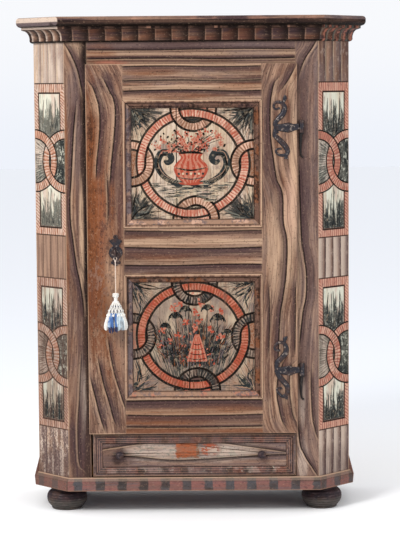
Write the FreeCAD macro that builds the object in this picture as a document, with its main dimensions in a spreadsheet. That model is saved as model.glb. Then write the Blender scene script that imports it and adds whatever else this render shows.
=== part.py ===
"""Painted cupboard: one panelled door above one drawer, canted front corners, a coved cornice, bun feet.

Lengths are millimetres. +X is to the right of someone who faces the cupboard, +Y goes back and +Z up.
The origin lies on the floor, below the middle of the overall width and depth, which count the key's bow.
"""

import FreeCAD, Part

import math
import os
from types import SimpleNamespace

import Sketcher
from FreeCAD import Placement, Rotation, Vector

SIZES = (
    # The case
    ("case_width", 1160, "carcass, side to side"),
    ("case_depth", 470, "carcass, front to back"),
    ("total_height", 1820, "floor to the top of the cornice slab"),
    ("face_width", 920, "flat front between the two canted corners"),
    ("corner_depth", 130, "how far a canted corner runs back"),
    ("side_thickness", 22, "side boards"),
    ("corner_thickness", 24, "canted corner boards"),
    ("frame_thickness", 25, "front stiles and frieze rail"),
    ("back_thickness", 14, "back boards"),
    ("back_board_gap", 2, "between two back boards"),
    ("opening_width", 756, "between the front stiles"),
    ("floor_thickness", 22, "case bottom and cabinet floor"),
    ("bottom_top", 133, "upper face of the case bottom"),
    ("shelf_thickness", 20, "shelves"),
    ("shelf_set_back", 60, "front face of the case to a shelf's front edge"),
    ("shelf_gap", 1, "play round a shelf"),
    ("lower_shelf_top", 780, "upper face of the lower shelf"),
    ("upper_shelf_top", 1220, "upper face of the upper shelf"),
    ("batten_size", 25, "shelf battens, square"),
    ("batten_inset", 20, "from a shelf batten's ends to the corner board and the back"),
    # Feet and plinth
    ("foot_height", 84, "floor to the underside of the case"),
    ("foot_width", 150, "bun foot across its belly"),
    ("foot_belly", 46, "floor to the belly's widest line"),
    ("foot_bulge", 55, "half the height of the whole ball that the foot is cut from"),
    ("foot_inset_side", 104, "case side to a foot's centre line"),
    ("foot_inset_end", 105, "case front or back to a foot's centre line"),
    ("dowel_width", 30, "dowel on top of a foot"),
    ("dowel_length", 22, "how far the dowel enters its block"),
    ("dowel_play", 0.2, "round the dowel"),
    ("block_width", 158, "corner block, along X"),
    ("block_end", 200, "corner block, from the case front or back"),
    ("plinth_out", 15, "how far the plinth stands out"),
    ("plinth_band", 34, "height of its painted band"),
    ("plinth_fall", 15, "height of the sloped edge above the band"),
    ("plinth_lip", 5, "what the sloped edge keeps standing out at its top"),
    ("flare_out", 18, "how far the side plinth stands out"),
    ("flare_height", 70, "height of the side plinth's sloped upper part"),
    # Cornice
    ("slab_thickness", 35, "cornice slab"),
    ("slab_out", 61, "how far the slab stands out from the case"),
    ("slab_round_top", 12, "radius of its upper edge"),
    ("slab_round_bottom", 16, "radius of its lower edge"),
    ("cove_height", 57, "cornice moulding below the slab"),
    ("cove_out", 43, "how far the moulding stands out at its top"),
    ("cove_fillet", 10, "height of the flat band at its top"),
    ("cove_bead", 10, "height of the bead at its foot"),
    ("cove_bead_out", 14, "how far the bead stands out"),
    ("cove_nose", 4, "how far the flat band stands out past the cove"),
    # Door
    ("door_width", 766, "door face, side to side"),
    ("door_bottom", 297, "lower edge of the door face"),
    ("frieze_height", 142, "frieze rail, top of the opening to the cornice slab"),
    ("door_proud", 15, "how far the door face stands in front of the case"),
    ("door_inside", 10, "how far the door reaches into its opening"),
    ("door_play", 3, "round the part of the door that is in the opening"),
    ("lip_top", 6, "how far the door laps over the frieze rail"),
    ("stile_lock", 134, "door stile on the lock side"),
    ("stile_hinge", 128, "door stile on the hinge side"),
    ("rail_top", 130, "door's top rail"),
    ("rail_bottom", 128, "door's bottom rail"),
    ("rail_middle", 171, "door's middle rail"),
    ("upper_panel_height", 463, "opening of the upper panel"),
    ("panel_thickness", 12, "door panels"),
    ("panel_sunk", 8, "door face back to a panel's face"),
    ("panel_tongue", 8, "how far a panel enters its groove"),
    ("groove_play", 0.3, "round a panel in its groove"),
    ("upper_left_board", 194, "panel opening's left edge to the gap between the upper panel's boards"),
    ("lower_left_board", 235, "the same in the lower panel"),
    ("crack_width", 1.2, "gap between two boards of a panel"),
    ("moulding_width", 30, "moulding round a door panel"),
    ("moulding_proud", 4, "how far that moulding stands in front of the door face"),
    ("moulding_flat", 8, "its outer flat"),
    ("moulding_inner", 5, "its inner flat"),
    ("moulding_edge", 3, "height of its inner edge above the panel"),
    # Hinges
    ("hinge_axis_out", 16, "door edge to the hinge axis"),
    ("hinge_axis_front", 11, "case front to the hinge axis"),
    ("hinge_from_top", 229, "top of the door face to the upper hinge's arm"),
    ("hinge_from_bottom", 235, "bottom of the door face to the lower hinge's arm"),
    ("strap_thickness", 4, "hinge straps"),
    ("strap_reach", 104, "hinge axis to the far end of the strap"),
    ("strap_half_height", 118, "hinge arm to the tip of a scroll"),
    ("arm_root", 28, "height of the arm at the barrel"),
    ("arm_belly", 44, "height of the arm at its widest"),
    ("arm_tip", 22, "height of the arm at its far end"),
    ("scroll_width", 17, "scroll at its foot"),
    ("barrel_width", 20, "hinge barrel"),
    ("barrel_height", 46, "hinge barrel"),
    ("pin_width", 8, "pintle pin"),
    ("pin_play", 0.08, "round the pin, in the barrel"),
    ("seat_gap", 0.3, "between a piece that moves and its seat"),
    ("collar_width", 18, "collar below the barrel"),
    ("collar_height", 5, "collar below the barrel"),
    ("tail_width", 10, "pintle's round tail"),
    ("tail_length", 78, "pintle's round tail"),
    ("tail_plate_width", 16, "plate that holds a pintle on its stile"),
    ("tail_plate_thickness", 3, "the same plate"),
    ("curl_width", 20, "curl at the end of the tail"),
    ("curl_thickness", 7, "the same curl, front to back"),
    ("nail_width", 9, "nail heads on the straps and plates"),
    ("nail_height", 2.5, "the same heads"),
    ("nail_top", 3, "flat top of the same heads"),
    ("boss_width", 14, "rivet head in the middle of a hinge arm"),
    # Lock and key
    ("key_from_edge", 104, "door's left edge to the key's axis"),
    ("key_drop", 90, "top of the door's middle rail down to the key's axis"),
    ("plate_thickness", 3, "escutcheon"),
    ("plate_width", 50, "escutcheon's round middle"),
    ("plate_crown", 48, "escutcheon across its crown"),
    ("plate_neck", 22, "escutcheon across its neck"),
    ("plate_up", 50, "key axis to the top of the crown"),
    ("plate_down", 48, "key axis to the escutcheon's lower tip"),
    ("plate_eye", 18, "hanging eye on top of the crown"),
    ("plate_eye_hole", 8, "its hole"),
    ("shank_width", 8, "key shank"),
    ("shank_play", 1, "round the shank in the wood, the escutcheon and the lock"),
    ("bow_width", 44, "key bow, outside"),
    ("bow_bar", 7, "round bar of the bow"),
    ("bow_out", 62, "case front to the middle of the bow"),
    ("collar_key", 14, "collar on the shank"),
    ("collar_key_length", 4, "the same collar"),
    ("bit_height", 14, "key bit, beyond the shank"),
    ("bit_length", 10, "key bit, along the shank"),
    ("bit_thickness", 4, "key bit"),
    ("bit_play", 1, "round the bit in the lock"),
    ("lock_width", 140, "lock case, along the door"),
    ("lock_height", 96, "lock case"),
    ("lock_depth", 26, "lock case, behind the door"),
    ("lock_front", 2, "lock case's front plate"),
    ("lock_inset", 5, "edge of the door's inner part to the lock case"),
    ("bolt_height", 20, "bolt"),
    ("bolt_thickness", 6, "bolt"),
    ("bolt_length", 110, "bolt"),
    ("bolt_throw", 20, "how far the bolt moves"),
    ("bolt_play", 0.4, "round the bolt in the lock"),
    ("bolt_behind", 1.5, "back of the front stile to the bolt"),
    ("keeper_inset", 4, "edge of the opening to the keeper"),
    ("keeper_length", 22, "keeper, along the bolt"),
    ("keeper_bar", 5, "iron of the keeper"),
    ("keeper_play", 1.2, "round the bolt in the keeper"),
    # Cord and tassel
    ("cord_width", 3, "cord"),
    ("cord_play", 0.2, "between the cord's loop and the bow"),
    ("cord_length", 119.3, "cord between its loop and the tassel"),
    ("tassel_height", 139, "tassel"),
    ("tassel_width", 102, "tassel, across its skirt"),
    ("tassel_depth", 68, "tassel, front to back"),
    ("tassel_head", 21, "tassel's head"),
    # Drawer
    ("drawer_gap_left", 7, "stile to the drawer front, left"),
    ("drawer_gap_right", 3, "stile to the drawer front, right"),
    ("drawer_gap_bottom", 2.5, "case bottom to the drawer front"),
    ("drawer_gap_top", 2, "drawer front to the cabinet floor"),
    ("drawer_front", 24, "thickness of the drawer front"),
    ("drawer_room", 56, "back of the drawer to the back boards"),
    ("drawer_board", 14, "drawer sides and back"),
    ("drawer_bottom", 8, "drawer bottom"),
    ("drawer_bottom_up", 10, "lower edge of the sides to the drawer bottom"),
    ("drawer_side_height", 150, "drawer sides"),
    ("drawer_back_drop", 10, "top of the sides to the top of the back"),
    ("drawer_set_in", 1, "end of the drawer front to the side's outer face"),
    ("drawer_moulding_width", 34, "moulding round the drawer front"),
    ("drawer_moulding_proud", 7, "the same moulding"),
    ("drawer_moulding_inset", 3, "edge of the drawer front to the moulding"),
    ("guide_play", 1.5, "drawer side to its guide"),
    ("guide_width", 30, "drawer guides"),
    ("guide_height", 40, "drawer guides"),
    ("stop_length", 30, "drawer stops"),
    ("stop_height", 27, "drawer stops"),
    ("knob_from_left", 98, "drawer front's left end to the left knob"),
    ("knob_from_right", 125, "drawer front's right end to the right knob"),
    ("knob_rise", 81.5, "lower edge of the drawer front to the knobs"),
    ("knob_width", 30, "turned head"),
    ("knob_head", 18, "its length"),
    ("knob_neck", 12, "its neck"),
    ("knob_neck_length", 14, "the same neck"),
    ("knob_flange", 22, "disc at the foot of the knob"),
    ("knob_flange_length", 3, "the same disc"),
)

doc = FreeCAD.newDocument("painted_cupboard")
sheet = doc.addObject("Spreadsheet::Sheet", "sizes")
for row, (alias, value, meaning) in enumerate(SIZES, start=1):
    sheet.set(f"A{row}", alias)
    sheet.set(f"B{row}", str(value))
    sheet.set(f"C{row}", meaning)
    sheet.setAlias(f"B{row}", alias)
doc.recompute()

nodes = []


class Size:
    """A length worked out from the sheet: its formula, which the document keeps, and its value now."""

    def __init__(self, formula, value):
        self.formula = formula
        self.value = value

    def __add__(self, other):
        other = as_size(other)
        return Size(f"({self.formula} + {other.formula})", self.value + other.value)

    def __sub__(self, other):
        other = as_size(other)
        return Size(f"({self.formula} - {other.formula})", self.value - other.value)

    def __mul__(self, other):
        other = as_size(other)
        return Size(f"({self.formula} * {other.formula})", self.value * other.value)

    def __truediv__(self, other):
        other = as_size(other)
        return Size(f"({self.formula} / {other.formula})", self.value / other.value)

    def __radd__(self, other):
        return as_size(other) + self

    def __rsub__(self, other):
        return as_size(other) - self

    def __rmul__(self, other):
        return as_size(other) * self

    def __neg__(self):
        return Size(f"(0 - {self.formula})", -self.value)


def as_size(number):
    return number if isinstance(number, Size) else Size(f"{number}", float(number))


def root(size):
    return Size(f"sqrt({size.formula})", math.sqrt(size.value))


def point(x, y, z):
    """The place x, y, z, for the shapes that Part's own functions make."""
    return Vector(*(as_size(v).value for v in (x, y, z)))


s = SimpleNamespace(
    **{alias: Size(f"sizes.{alias}", float(sheet.get(alias))) for alias, _, _ in SIZES}
)


# Planes and lines that several pieces share
half_case = s.case_width / 2
half_face = s.face_width / 2
half_opening = s.opening_width / 2
key_reach = s.bow_out + s.bow_width / 2
front = (key_reach - s.case_depth) / 2
back = front + s.case_depth
inner_back = back - s.back_thickness
inner_side = half_case - s.side_thickness
frame_back = front + s.frame_thickness
corner_back = front + s.corner_depth
case_top = s.total_height - s.slab_thickness
corner_run = half_case - half_face
corner_slant = root(corner_run * corner_run + s.corner_depth * s.corner_depth)
corner_inner_y = front + s.corner_thickness * corner_slant / corner_run
corner_inner_x = half_case - s.corner_thickness * corner_slant / s.corner_depth
floor_top = s.door_bottom + s.floor_thickness
opening_top = case_top - s.frieze_height


def bind(obj, prop, size):
    obj.setExpression(prop, as_size(size).formula)


def keep(obj, name):
    """Makes obj the sub-part called name."""
    obj.Label = name
    nodes.append(obj)
    return obj


def box(name, x, y, z):
    """A block between the pairs of limits x, y and z."""
    obj = doc.addObject("Part::Box", name)
    for prop, (low, high) in zip(("Length", "Width", "Height"), (x, y, z)):
        bind(obj, prop, as_size(high) - low)
    for axis, (low, _) in zip("xyz", (x, y, z)):
        bind(obj, f"Placement.Base.{axis}", low)
    return obj


TURNS = {
    "x": Rotation(Vector(0, 1, 0), 90),
    "y": Rotation(Vector(1, 0, 0), -90),
    "z": Rotation(),
}


def rod(name, along, x, y, z, width, length):
    """A round bar that starts at x, y, z and runs along +x, +y or +z."""
    obj = doc.addObject("Part::Cylinder", name)
    obj.Placement = Placement(Vector(), TURNS[along])
    bind(obj, "Radius", as_size(width) / 2)
    bind(obj, "Height", length)
    for axis, at in zip("xyz", (x, y, z)):
        bind(obj, f"Placement.Base.{axis}", at)
    return obj


def ball(name, x, y, z, half_x, half_y, half_z):
    """An ellipsoid about x, y, z."""
    obj = doc.addObject("Part::Ellipsoid", name)
    for prop, size in (("Radius1", half_z), ("Radius2", half_x), ("Radius3", half_y)):
        bind(obj, prop, size)
    for axis, at in zip("xyz", (x, y, z)):
        bind(obj, f"Placement.Base.{axis}", at)
    return obj


def fuse(name, *shapes):
    obj = doc.addObject("Part::MultiFuse", name)
    obj.Shapes = list(shapes)
    obj.Refine = True
    return obj


def cut(name, base, *tools):
    obj = doc.addObject("Part::Cut", name)
    obj.Base = base
    obj.Tool = tools[0] if len(tools) == 1 else fuse(f"{name}_tools", *tools)
    obj.Refine = True
    return obj


def group(name, *shapes):
    """Several separate solids that make one sub-part."""
    obj = doc.addObject("Part::Compound", name)
    obj.Links = list(shapes)
    return obj


def plane_of(body, role):
    return next(o for o in body.Origin.OriginFeatures if o.Role == role)


def polygon(body, name, plane, points):
    """A sketch of straight lines through points, each point's place bound to the sheet."""
    sketch = body.newObject("Sketcher::SketchObject", name)
    sketch.AttachmentSupport = [(plane_of(body, plane), "")]
    sketch.MapMode = "FlatFace"
    corners = [tuple(as_size(v) for v in p) for p in points]
    flat = [Vector(across.value, along.value, 0) for across, along in corners]
    for start, end in zip(flat, flat[1:] + flat[:1]):
        sketch.addGeometry(Part.LineSegment(start, end), False)
    for n in range(len(flat)):
        sketch.addConstraint(Sketcher.Constraint("Coincident", n, 2, (n + 1) % len(flat), 1))
    for n, (across, along) in enumerate(corners):
        for kind, size in (("DistanceX", across), ("DistanceY", along)):
            index = sketch.addConstraint(Sketcher.Constraint(kind, n, 1, size.value))
            bind(sketch, f"Constraints[{index}]", size)
    return sketch


def circle(body, name, plane, across, along, width):
    """A sketch of one circle."""
    sketch = body.newObject("Sketcher::SketchObject", name)
    sketch.AttachmentSupport = [(plane_of(body, plane), "")]
    sketch.MapMode = "FlatFace"
    across, along, radius = as_size(across), as_size(along), as_size(width) / 2
    middle = Vector(across.value, along.value, 0)
    sketch.addGeometry(Part.Circle(middle, Vector(0, 0, 1), radius.value), False)
    for kind, place, size in (("DistanceX", 3, across), ("DistanceY", 3, along)):
        index = sketch.addConstraint(Sketcher.Constraint(kind, 0, place, size.value))
        bind(sketch, f"Constraints[{index}]", size)
    index = sketch.addConstraint(Sketcher.Constraint("Radius", 0, radius.value))
    bind(sketch, f"Constraints[{index}]", radius)
    return sketch


def pad(body, sketch, length):
    feature = body.newObject("PartDesign::Pad", f"{sketch.Name}_pad")
    feature.Profile = sketch
    bind(feature, "Length", length)
    sketch.Visibility = False
    return feature


def pocket(body, sketch, length):
    """Cuts from the sketch in the direction in which a pad of it would grow."""
    feature = body.newObject("PartDesign::Pocket", f"{sketch.Name}_pocket")
    feature.Profile = sketch
    feature.Reversed = True
    bind(feature, "Length", length)
    return feature


def prism(name, points, low, high):
    """A board of constant plan: the polygon points, between the heights low and high."""
    body = doc.addObject("PartDesign::Body", name)
    pad(body, polygon(body, f"{name}_plan", "XY_Plane", points), as_size(high) - low)
    bind(body, "Placement.Base.z", low)
    return body


def wire(place, steps):
    """A closed wire through steps. A step is a point, or a pair: the middle and the end of an arc."""
    edges = []
    here = place(*steps[0])
    for step in [*steps[1:], steps[0]]:
        if isinstance(step[0], tuple):
            middle, there = (place(*p) for p in step)
            edges.append(Part.Arc(here, middle, there).toShape())
        else:
            there = place(*step)
            edges.append(Part.LineSegment(here, there).toShape())
        here = there
    return Part.Wire(edges)


def mitre(before, after):
    """How far a corner moves for each millimetre that both its sides move out."""
    return (before + after) * (1 / (1 + before.dot(after)))


def moulding(profile, ends, rise):
    """A length of moulding between two mitred ends, each a corner and its mitre.

    A point (out, up) of the profile lies out times the mitre and up times rise from the corner."""
    wires = []
    for corner, slant in ends:
        wires.append(wire(lambda out, up: corner + slant * out + rise * up, profile))
    return Part.makeLoft(wires, True, True)


def feature(name, shape):
    obj = doc.addObject("Part::Feature", name)
    obj.Shape = shape
    return obj


# Plan of the case: its corners from the back left, round the front, to the back right
PLAN = (
    point(-half_case, back, 0),
    point(-half_case, corner_back, 0),
    point(-half_face, front, 0),
    point(half_face, front, 0),
    point(half_case, corner_back, 0),
    point(half_case, back, 0),
)
UP = Vector(0, 0, 1)
OUTWARD = [(b - a).normalize().cross(UP) for a, b in zip(PLAN, PLAN[1:])]
MITRES = [
    OUTWARD[0],
    *(mitre(a, b) for a, b in zip(OUTWARD, OUTWARD[1:])),
    OUTWARD[-1],
]
RUNS = ("side_left", "corner_left", "front", "corner_right", "side_right")


def case_moulding(name, run, profile, low):
    """The moulding on one of the five runs of the case's front and sides, with its foot at low."""
    n = RUNS.index(run)
    lift = UP * as_size(low).value
    ends = [(PLAN[k] + lift, MITRES[k]) for k in (n, n + 1)]
    return keep(feature(name, moulding(profile, ends, UP)), name)


def board_plan(play, tongue_front, shelf_front=None):
    """Outline of a board that fills the case's inside, with play all round.

    Between the front stiles it comes forward to tongue_front. A shelf stays behind shelf_front instead."""
    side = inner_side - play
    rear = inner_back - play
    if shelf_front is None:
        lead = [
            (half_opening, tongue_front),
            (half_opening, frame_back),
            (half_face, frame_back),
            (half_face, corner_inner_y),
        ]
    else:
        slope = corner_run / s.corner_depth
        lead = [(half_face + (shelf_front - corner_inner_y) * slope - 2 * play, shelf_front)]
    right = [
        *lead,
        (corner_inner_x - play, corner_back + play),
        (side, corner_back + play),
        (side, rear),
    ]
    return right + [(-as_size(x), y) for x, y in reversed(right)]


# ---------------------------------------------------------------- feet and plinth


def feet():
    """Four bun feet, each a flattened ball with a dowel that goes up into its corner block."""
    foot_x = half_case - s.foot_inset_side
    ends = {"front": front + s.foot_inset_end, "back": back - s.foot_inset_end}
    for end, y in ends.items():
        for side, x in (("left", -foot_x), ("right", foot_x)):
            name = f"foot_{end}_{side}"
            half = s.foot_width / 2
            whole = ball(f"{name}_ball", x, y, s.foot_belly, half, half, s.foot_bulge)
            height = rod(f"{name}_height", "z", x, y, 0, 2 * s.foot_width, s.foot_height)
            bun = doc.addObject("Part::MultiCommon", f"{name}_bun")
            bun.Shapes = [whole, height]
            dowel = rod(
                f"{name}_dowel", "z", x, y, s.foot_belly, s.dowel_width,
                s.foot_height - s.foot_belly + s.dowel_length,
            )
            keep(fuse(name, bun, dowel), name)


def corner_blocks():
    """Blocks below the case bottom that take the feet's dowels."""
    foot_x = half_case - s.foot_inset_side
    block_inner = inner_side - s.block_width
    low = s.foot_height
    high = s.bottom_top - s.floor_thickness
    front_plan = [
        (block_inner, corner_inner_y),
        (half_face, corner_inner_y),
        (corner_inner_x, corner_back),
        (inner_side, corner_back),
        (inner_side, front + s.block_end),
        (block_inner, front + s.block_end),
    ]
    back_plan = [
        (block_inner, back - s.block_end),
        (inner_side, back - s.block_end),
        (inner_side, inner_back),
        (block_inner, inner_back),
    ]
    blocks = []
    for end, plan, y in (
        ("front", front_plan, front + s.foot_inset_end),
        ("back", back_plan, back - s.foot_inset_end),
    ):
        for side, sign in (("left", -1), ("right", 1)):
            name = f"block_{end}_{side}"
            block = prism(f"{name}_body", [(sign * x, y_) for x, y_ in plan], low, high)
            hole = rod(
                f"{name}_hole", "z", sign * foot_x, y, low,
                s.dowel_width + 2 * s.dowel_play, s.dowel_length + s.seat_gap,
            )
            blocks.append(cut(name, block, hole))
    keep(group("corner_blocks", *blocks), "corner_blocks")


def plinth():
    """The plinth: a painted band with a sloped upper edge, and taller flared boards at the sides."""
    band = s.plinth_band.value
    top = band + s.plinth_fall.value
    out = s.plinth_out.value
    low_profile = [(0, 0), (out, 0), (out, band), (s.plinth_lip.value, top), (0, top)]
    flare = s.flare_out.value
    tall = band + s.flare_height.value
    tall_profile = [(0, 0), (out, 0), (flare, band), (0, tall)]
    for run in RUNS:
        profile = tall_profile if run.startswith("side") else low_profile
        case_moulding(f"plinth_{run}", run, profile, s.foot_height)


# ---------------------------------------------------------------- carcass


def carcass():
    """Sides, canted corner boards, front frame, boards across and back boards."""
    low, high = s.foot_height, case_top
    for side, sign in (("left", -1), ("right", 1)):
        across = sorted((sign * inner_side, sign * half_case), key=lambda v: v.value)
        name = f"side_{side}"
        keep(box(name, across, (corner_back, inner_back), (low, high)), name)
        corner = [
            (sign * half_face, front),
            (sign * half_case, corner_back),
            (sign * corner_inner_x, corner_back),
            (sign * half_face, corner_inner_y),
        ]
        name = f"corner_board_{side}"
        keep(prism(name, corner, low, high), name)
        across = sorted((sign * half_opening, sign * half_face), key=lambda v: v.value)
        name = f"front_stile_{side}"
        keep(box(name, across, (front, frame_back), (low, high)), name)
    frieze = box(
        "frieze_rail", (-half_opening, half_opening), (front, frame_back), (opening_top, high)
    )
    keep(frieze, "frieze_rail")
    bottom = prism(
        "case_bottom", board_plan(0, front), s.bottom_top - s.floor_thickness, s.bottom_top
    )
    keep(bottom, "case_bottom")
    keep(prism("cabinet_floor", board_plan(0, front), s.door_bottom, floor_top), "cabinet_floor")
    width = (s.case_width - 2 * s.back_board_gap) / 3
    boards = []
    for n in range(3):
        start = -half_case + n * (width + s.back_board_gap)
        boards.append(box(f"back_board_{n + 1}", (start, start + width), (inner_back, back), (low, high)))
    keep(group("back_boards", *boards), "back_boards")


def shelves():
    """Two loose shelves on battens that are nailed to the sides."""
    battens = []
    for name, top in (("lower", s.lower_shelf_top), ("upper", s.upper_shelf_top)):
        shelf_front = front + s.shelf_set_back
        plan = board_plan(s.shelf_gap, front, shelf_front)
        shelf_low = top - s.shelf_thickness
        keep(prism(f"shelf_{name}", plan, shelf_low, top), f"shelf_{name}")
        for side, sign in (("left", -1), ("right", 1)):
            edges = (sign * inner_side, sign * (inner_side - s.batten_size))
            battens.append(
                box(
                    f"batten_{name}_{side}",
                    sorted(edges, key=lambda v: v.value),
                    (corner_back + s.batten_inset, inner_back - s.batten_inset),
                    (shelf_low - s.batten_size, shelf_low),
                )
            )
    keep(group("shelf_battens", *battens), "shelf_battens")


# ---------------------------------------------------------------- cornice


def cornice():
    """A coved moulding on five runs of the case, and the slab with a rounded edge on top of it."""
    height, out = s.cove_height.value, s.cove_out.value
    bead, bead_out = s.cove_bead.value, s.cove_bead_out.value
    cove_top = height - s.cove_fillet.value
    cove_out = out - s.cove_nose.value
    bulge = math.sqrt(0.5)
    hollow = (
        cove_out - (cove_out - bead_out) * bulge,
        bead + (cove_top - bead) * bulge,
    )
    profile = [
        (0, 0),
        (bead_out - bead, 0),
        ((bead_out - bead * (1 - bulge), bead * (1 - bulge)), (bead_out, bead)),
        (hollow, (cove_out, cove_top)),
        (out, cove_top),
        (out, height),
        (0, height),
    ]
    for run in RUNS:
        case_moulding(f"cornice_{run}", run, profile, case_top - s.cove_height)

    body = doc.addObject("PartDesign::Body", "cornice_slab")
    # The corner between the front and a canted corner moves sideways by this for each millimetre out
    shift = (corner_slant - s.corner_depth) / corner_run
    shift_back = (corner_slant - corner_run) / s.corner_depth
    right = [
        (half_face + s.slab_out * (corner_slant - corner_run) / s.corner_depth, front - s.slab_out),
        (half_case + s.slab_out, corner_back - s.slab_out * shift),
        (half_case + s.slab_out, back),
    ]
    assert abs(shift_back.value - MITRES[3].x) < 1e-6
    assert abs(shift.value + MITRES[4].y) < 1e-6
    plan = right + [(-x, y) for x, y in reversed(right)]
    plate = pad(body, polygon(body, "slab_plan", "XY_Plane", plan), s.slab_thickness)
    doc.recompute()
    last = plate
    for name, radius, level in (
        ("slab_top_round", s.slab_round_top, s.slab_thickness),
        ("slab_bottom_round", s.slab_round_bottom, as_size(0)),
    ):
        edges = [
            f"Edge{n}"
            for n, edge in enumerate(last.Shape.Edges, start=1)
            if all(abs(v.Z - level.value) < 1e-6 for v in edge.Vertexes)
            and min(v.Y for v in edge.Vertexes) < back.value - 1
        ]
        rounded = body.newObject("PartDesign::Fillet", name)
        rounded.Base = (last, edges)
        bind(rounded, "Radius", radius)
        doc.recompute()
        last = rounded
    bind(body, "Placement.Base.z", case_top)
    keep(body, "cornice_slab")


# ---------------------------------------------------------------- door

door_left = -s.door_width / 2
door_right = s.door_width / 2
door_top = opening_top + s.lip_top
door_face = front - s.door_proud
door_back = front + s.door_inside
inner_left = -half_opening + s.door_play
inner_right = half_opening - s.door_play
inner_low = floor_top + s.door_play
inner_high = opening_top - s.door_play
panel_left = door_left + s.stile_lock
panel_right = door_right - s.stile_hinge
upper_low = door_top - s.rail_top - s.upper_panel_height
PANELS = {
    "upper": (upper_low, door_top - s.rail_top, panel_left + s.upper_left_board),
    "lower": (s.door_bottom + s.rail_bottom, upper_low - s.rail_middle, panel_left + s.lower_left_board),
}
panel_face = door_face + s.panel_sunk
panel_back = panel_face + s.panel_thickness
lock_left = inner_left + s.lock_inset
key_x = door_left + s.key_from_edge
key_height = upper_low - s.key_drop
bolt_front = frame_back + s.bolt_behind


def grooves(name):
    """What the two panels, with their play, take out of the door's frame."""
    play = s.groove_play
    reach = s.panel_tongue + play
    return [
        box(
            f"{name}_groove_{panel}",
            (panel_left - reach, panel_right + reach),
            (panel_face - play, panel_back + play),
            (low - reach, high + reach),
        )
        for panel, (low, high, _) in PANELS.items()
    ]


def keyhole(name, y, depth, play):
    """A round hole for the key's shank with a slot below it for the bit."""
    width = s.shank_width + 2 * play
    drop = s.shank_width / 2 + s.bit_height + play
    slot = s.bit_thickness / 2 + play
    return [
        rod(f"{name}_round", "y", key_x, y, key_height, width, depth),
        box(
            f"{name}_slot",
            (key_x - slot, key_x + slot),
            (y, y + depth),
            (key_height - drop, key_height),
        ),
    ]


def door_frame():
    """Stiles and rails. The face laps over the case's opening and the back layer goes into it."""
    members = {
        "door_stile_lock": ((door_left, panel_left), (s.door_bottom, door_top)),
        "door_stile_hinge": ((panel_right, door_right), (s.door_bottom, door_top)),
        "door_rail_top": ((panel_left, panel_right), (door_top - s.rail_top, door_top)),
        "door_rail_middle": (
            (panel_left, panel_right),
            (upper_low - s.rail_middle, upper_low),
        ),
        "door_rail_bottom": (
            (panel_left, panel_right),
            (s.door_bottom, s.door_bottom + s.rail_bottom),
        ),
    }
    inner = {
        "door_stile_lock": ((inner_left, panel_left), (inner_low, inner_high)),
        "door_stile_hinge": ((panel_right, inner_right), (inner_low, inner_high)),
        "door_rail_top": ((panel_left, panel_right), (door_top - s.rail_top, inner_high)),
        "door_rail_middle": members["door_rail_middle"],
        "door_rail_bottom": ((panel_left, panel_right), (inner_low, s.door_bottom + s.rail_bottom)),
    }
    for name, (across, up) in members.items():
        face = box(f"{name}_face", across, (door_face, front), up)
        inside = box(f"{name}_inside", inner[name][0], (front, door_back), inner[name][1])
        tools = grooves(name)
        if name == "door_stile_lock":
            tools += keyhole(name, door_face, door_back - door_face, s.shank_play)
        keep(cut(name, fuse(f"{name}_solid", face, inside), *tools), name)


def door_panels():
    """Each panel is two boards that have shrunk apart, held in the frame's grooves."""
    for panel, (low, high, crack) in PANELS.items():
        half_gap = s.crack_width / 2
        boards = [
            box(
                f"panel_{panel}_{side}",
                across,
                (panel_face, panel_back),
                (low - s.panel_tongue, high + s.panel_tongue),
            )
            for side, across in (
                ("left", (panel_left - s.panel_tongue, crack - half_gap)),
                ("right", (crack + half_gap, panel_right + s.panel_tongue)),
            )
        ]
        keep(group(f"panel_{panel}", *boards), f"panel_{panel}")


def frame_strips(left, right, low, high, plane, profile):
    """Four mitred strips round the rectangle, which stand forward of the plane and grow inwards."""
    corners = [
        point(left, plane, low),
        point(right, plane, low),
        point(right, plane, high),
        point(left, plane, high),
    ]
    inward = [Vector(1, 0, 1), Vector(-1, 0, 1), Vector(-1, 0, -1), Vector(1, 0, -1)]
    forward = Vector(0, -1, 0)
    strips = []
    for n in range(4):
        ends = [(corners[k], inward[k]) for k in (n, (n + 1) % 4)]
        strips.append(moulding(profile, ends, forward))
    return Part.makeCompound(strips)


def door_mouldings():
    """Mitred strips that cover the joint between the door's frame and each panel."""
    high = s.panel_sunk.value + s.moulding_proud.value
    width = s.moulding_width.value
    edge = s.moulding_edge.value
    flat = s.moulding_flat.value
    inner_flat = width - s.moulding_inner.value
    dip = edge + (high - edge) * 0.3
    profile = [
        (0, 0),
        (0, high),
        (flat, high),
        ((flat + (inner_flat - flat) * 0.4, dip), (inner_flat, edge)),
        (width, edge),
        (width, 0),
    ]
    for panel, (low, top, _) in PANELS.items():
        name = f"moulding_{panel}"
        strips = frame_strips(panel_left, panel_right, low, top, panel_face, profile)
        keep(feature(name, strips), name)


# ---------------------------------------------------------------- hinges

hinge_x = door_right + s.hinge_axis_out
hinge_y = front - s.hinge_axis_front
barrel_low = -s.barrel_height / 2
HINGES = (
    ("upper", door_top - s.hinge_from_top),
    ("lower", s.door_bottom + s.hinge_from_bottom),
)

# The scroll's middle line from the arm's tip, as shares of the strap's reach and half height
SCROLL = (
    (-0.90, 0.10),
    (-0.77, 0.27),
    (-0.63, 0.43),
    (-0.57, 0.60),
    (-0.63, 0.76),
    (-0.78, 0.82),
    (-0.93, 0.75),
    (-0.95, 0.62),
    (-0.86, 0.56),
)
# Width of the scroll at its foot, middle and end, as shares of the width at its foot
SCROLL_TAPER = (1.0, 0.95, 0.36)
SPRIG = ((-0.60, 0.72), (-0.57, 0.90), (-0.60, 1.0))


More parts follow.
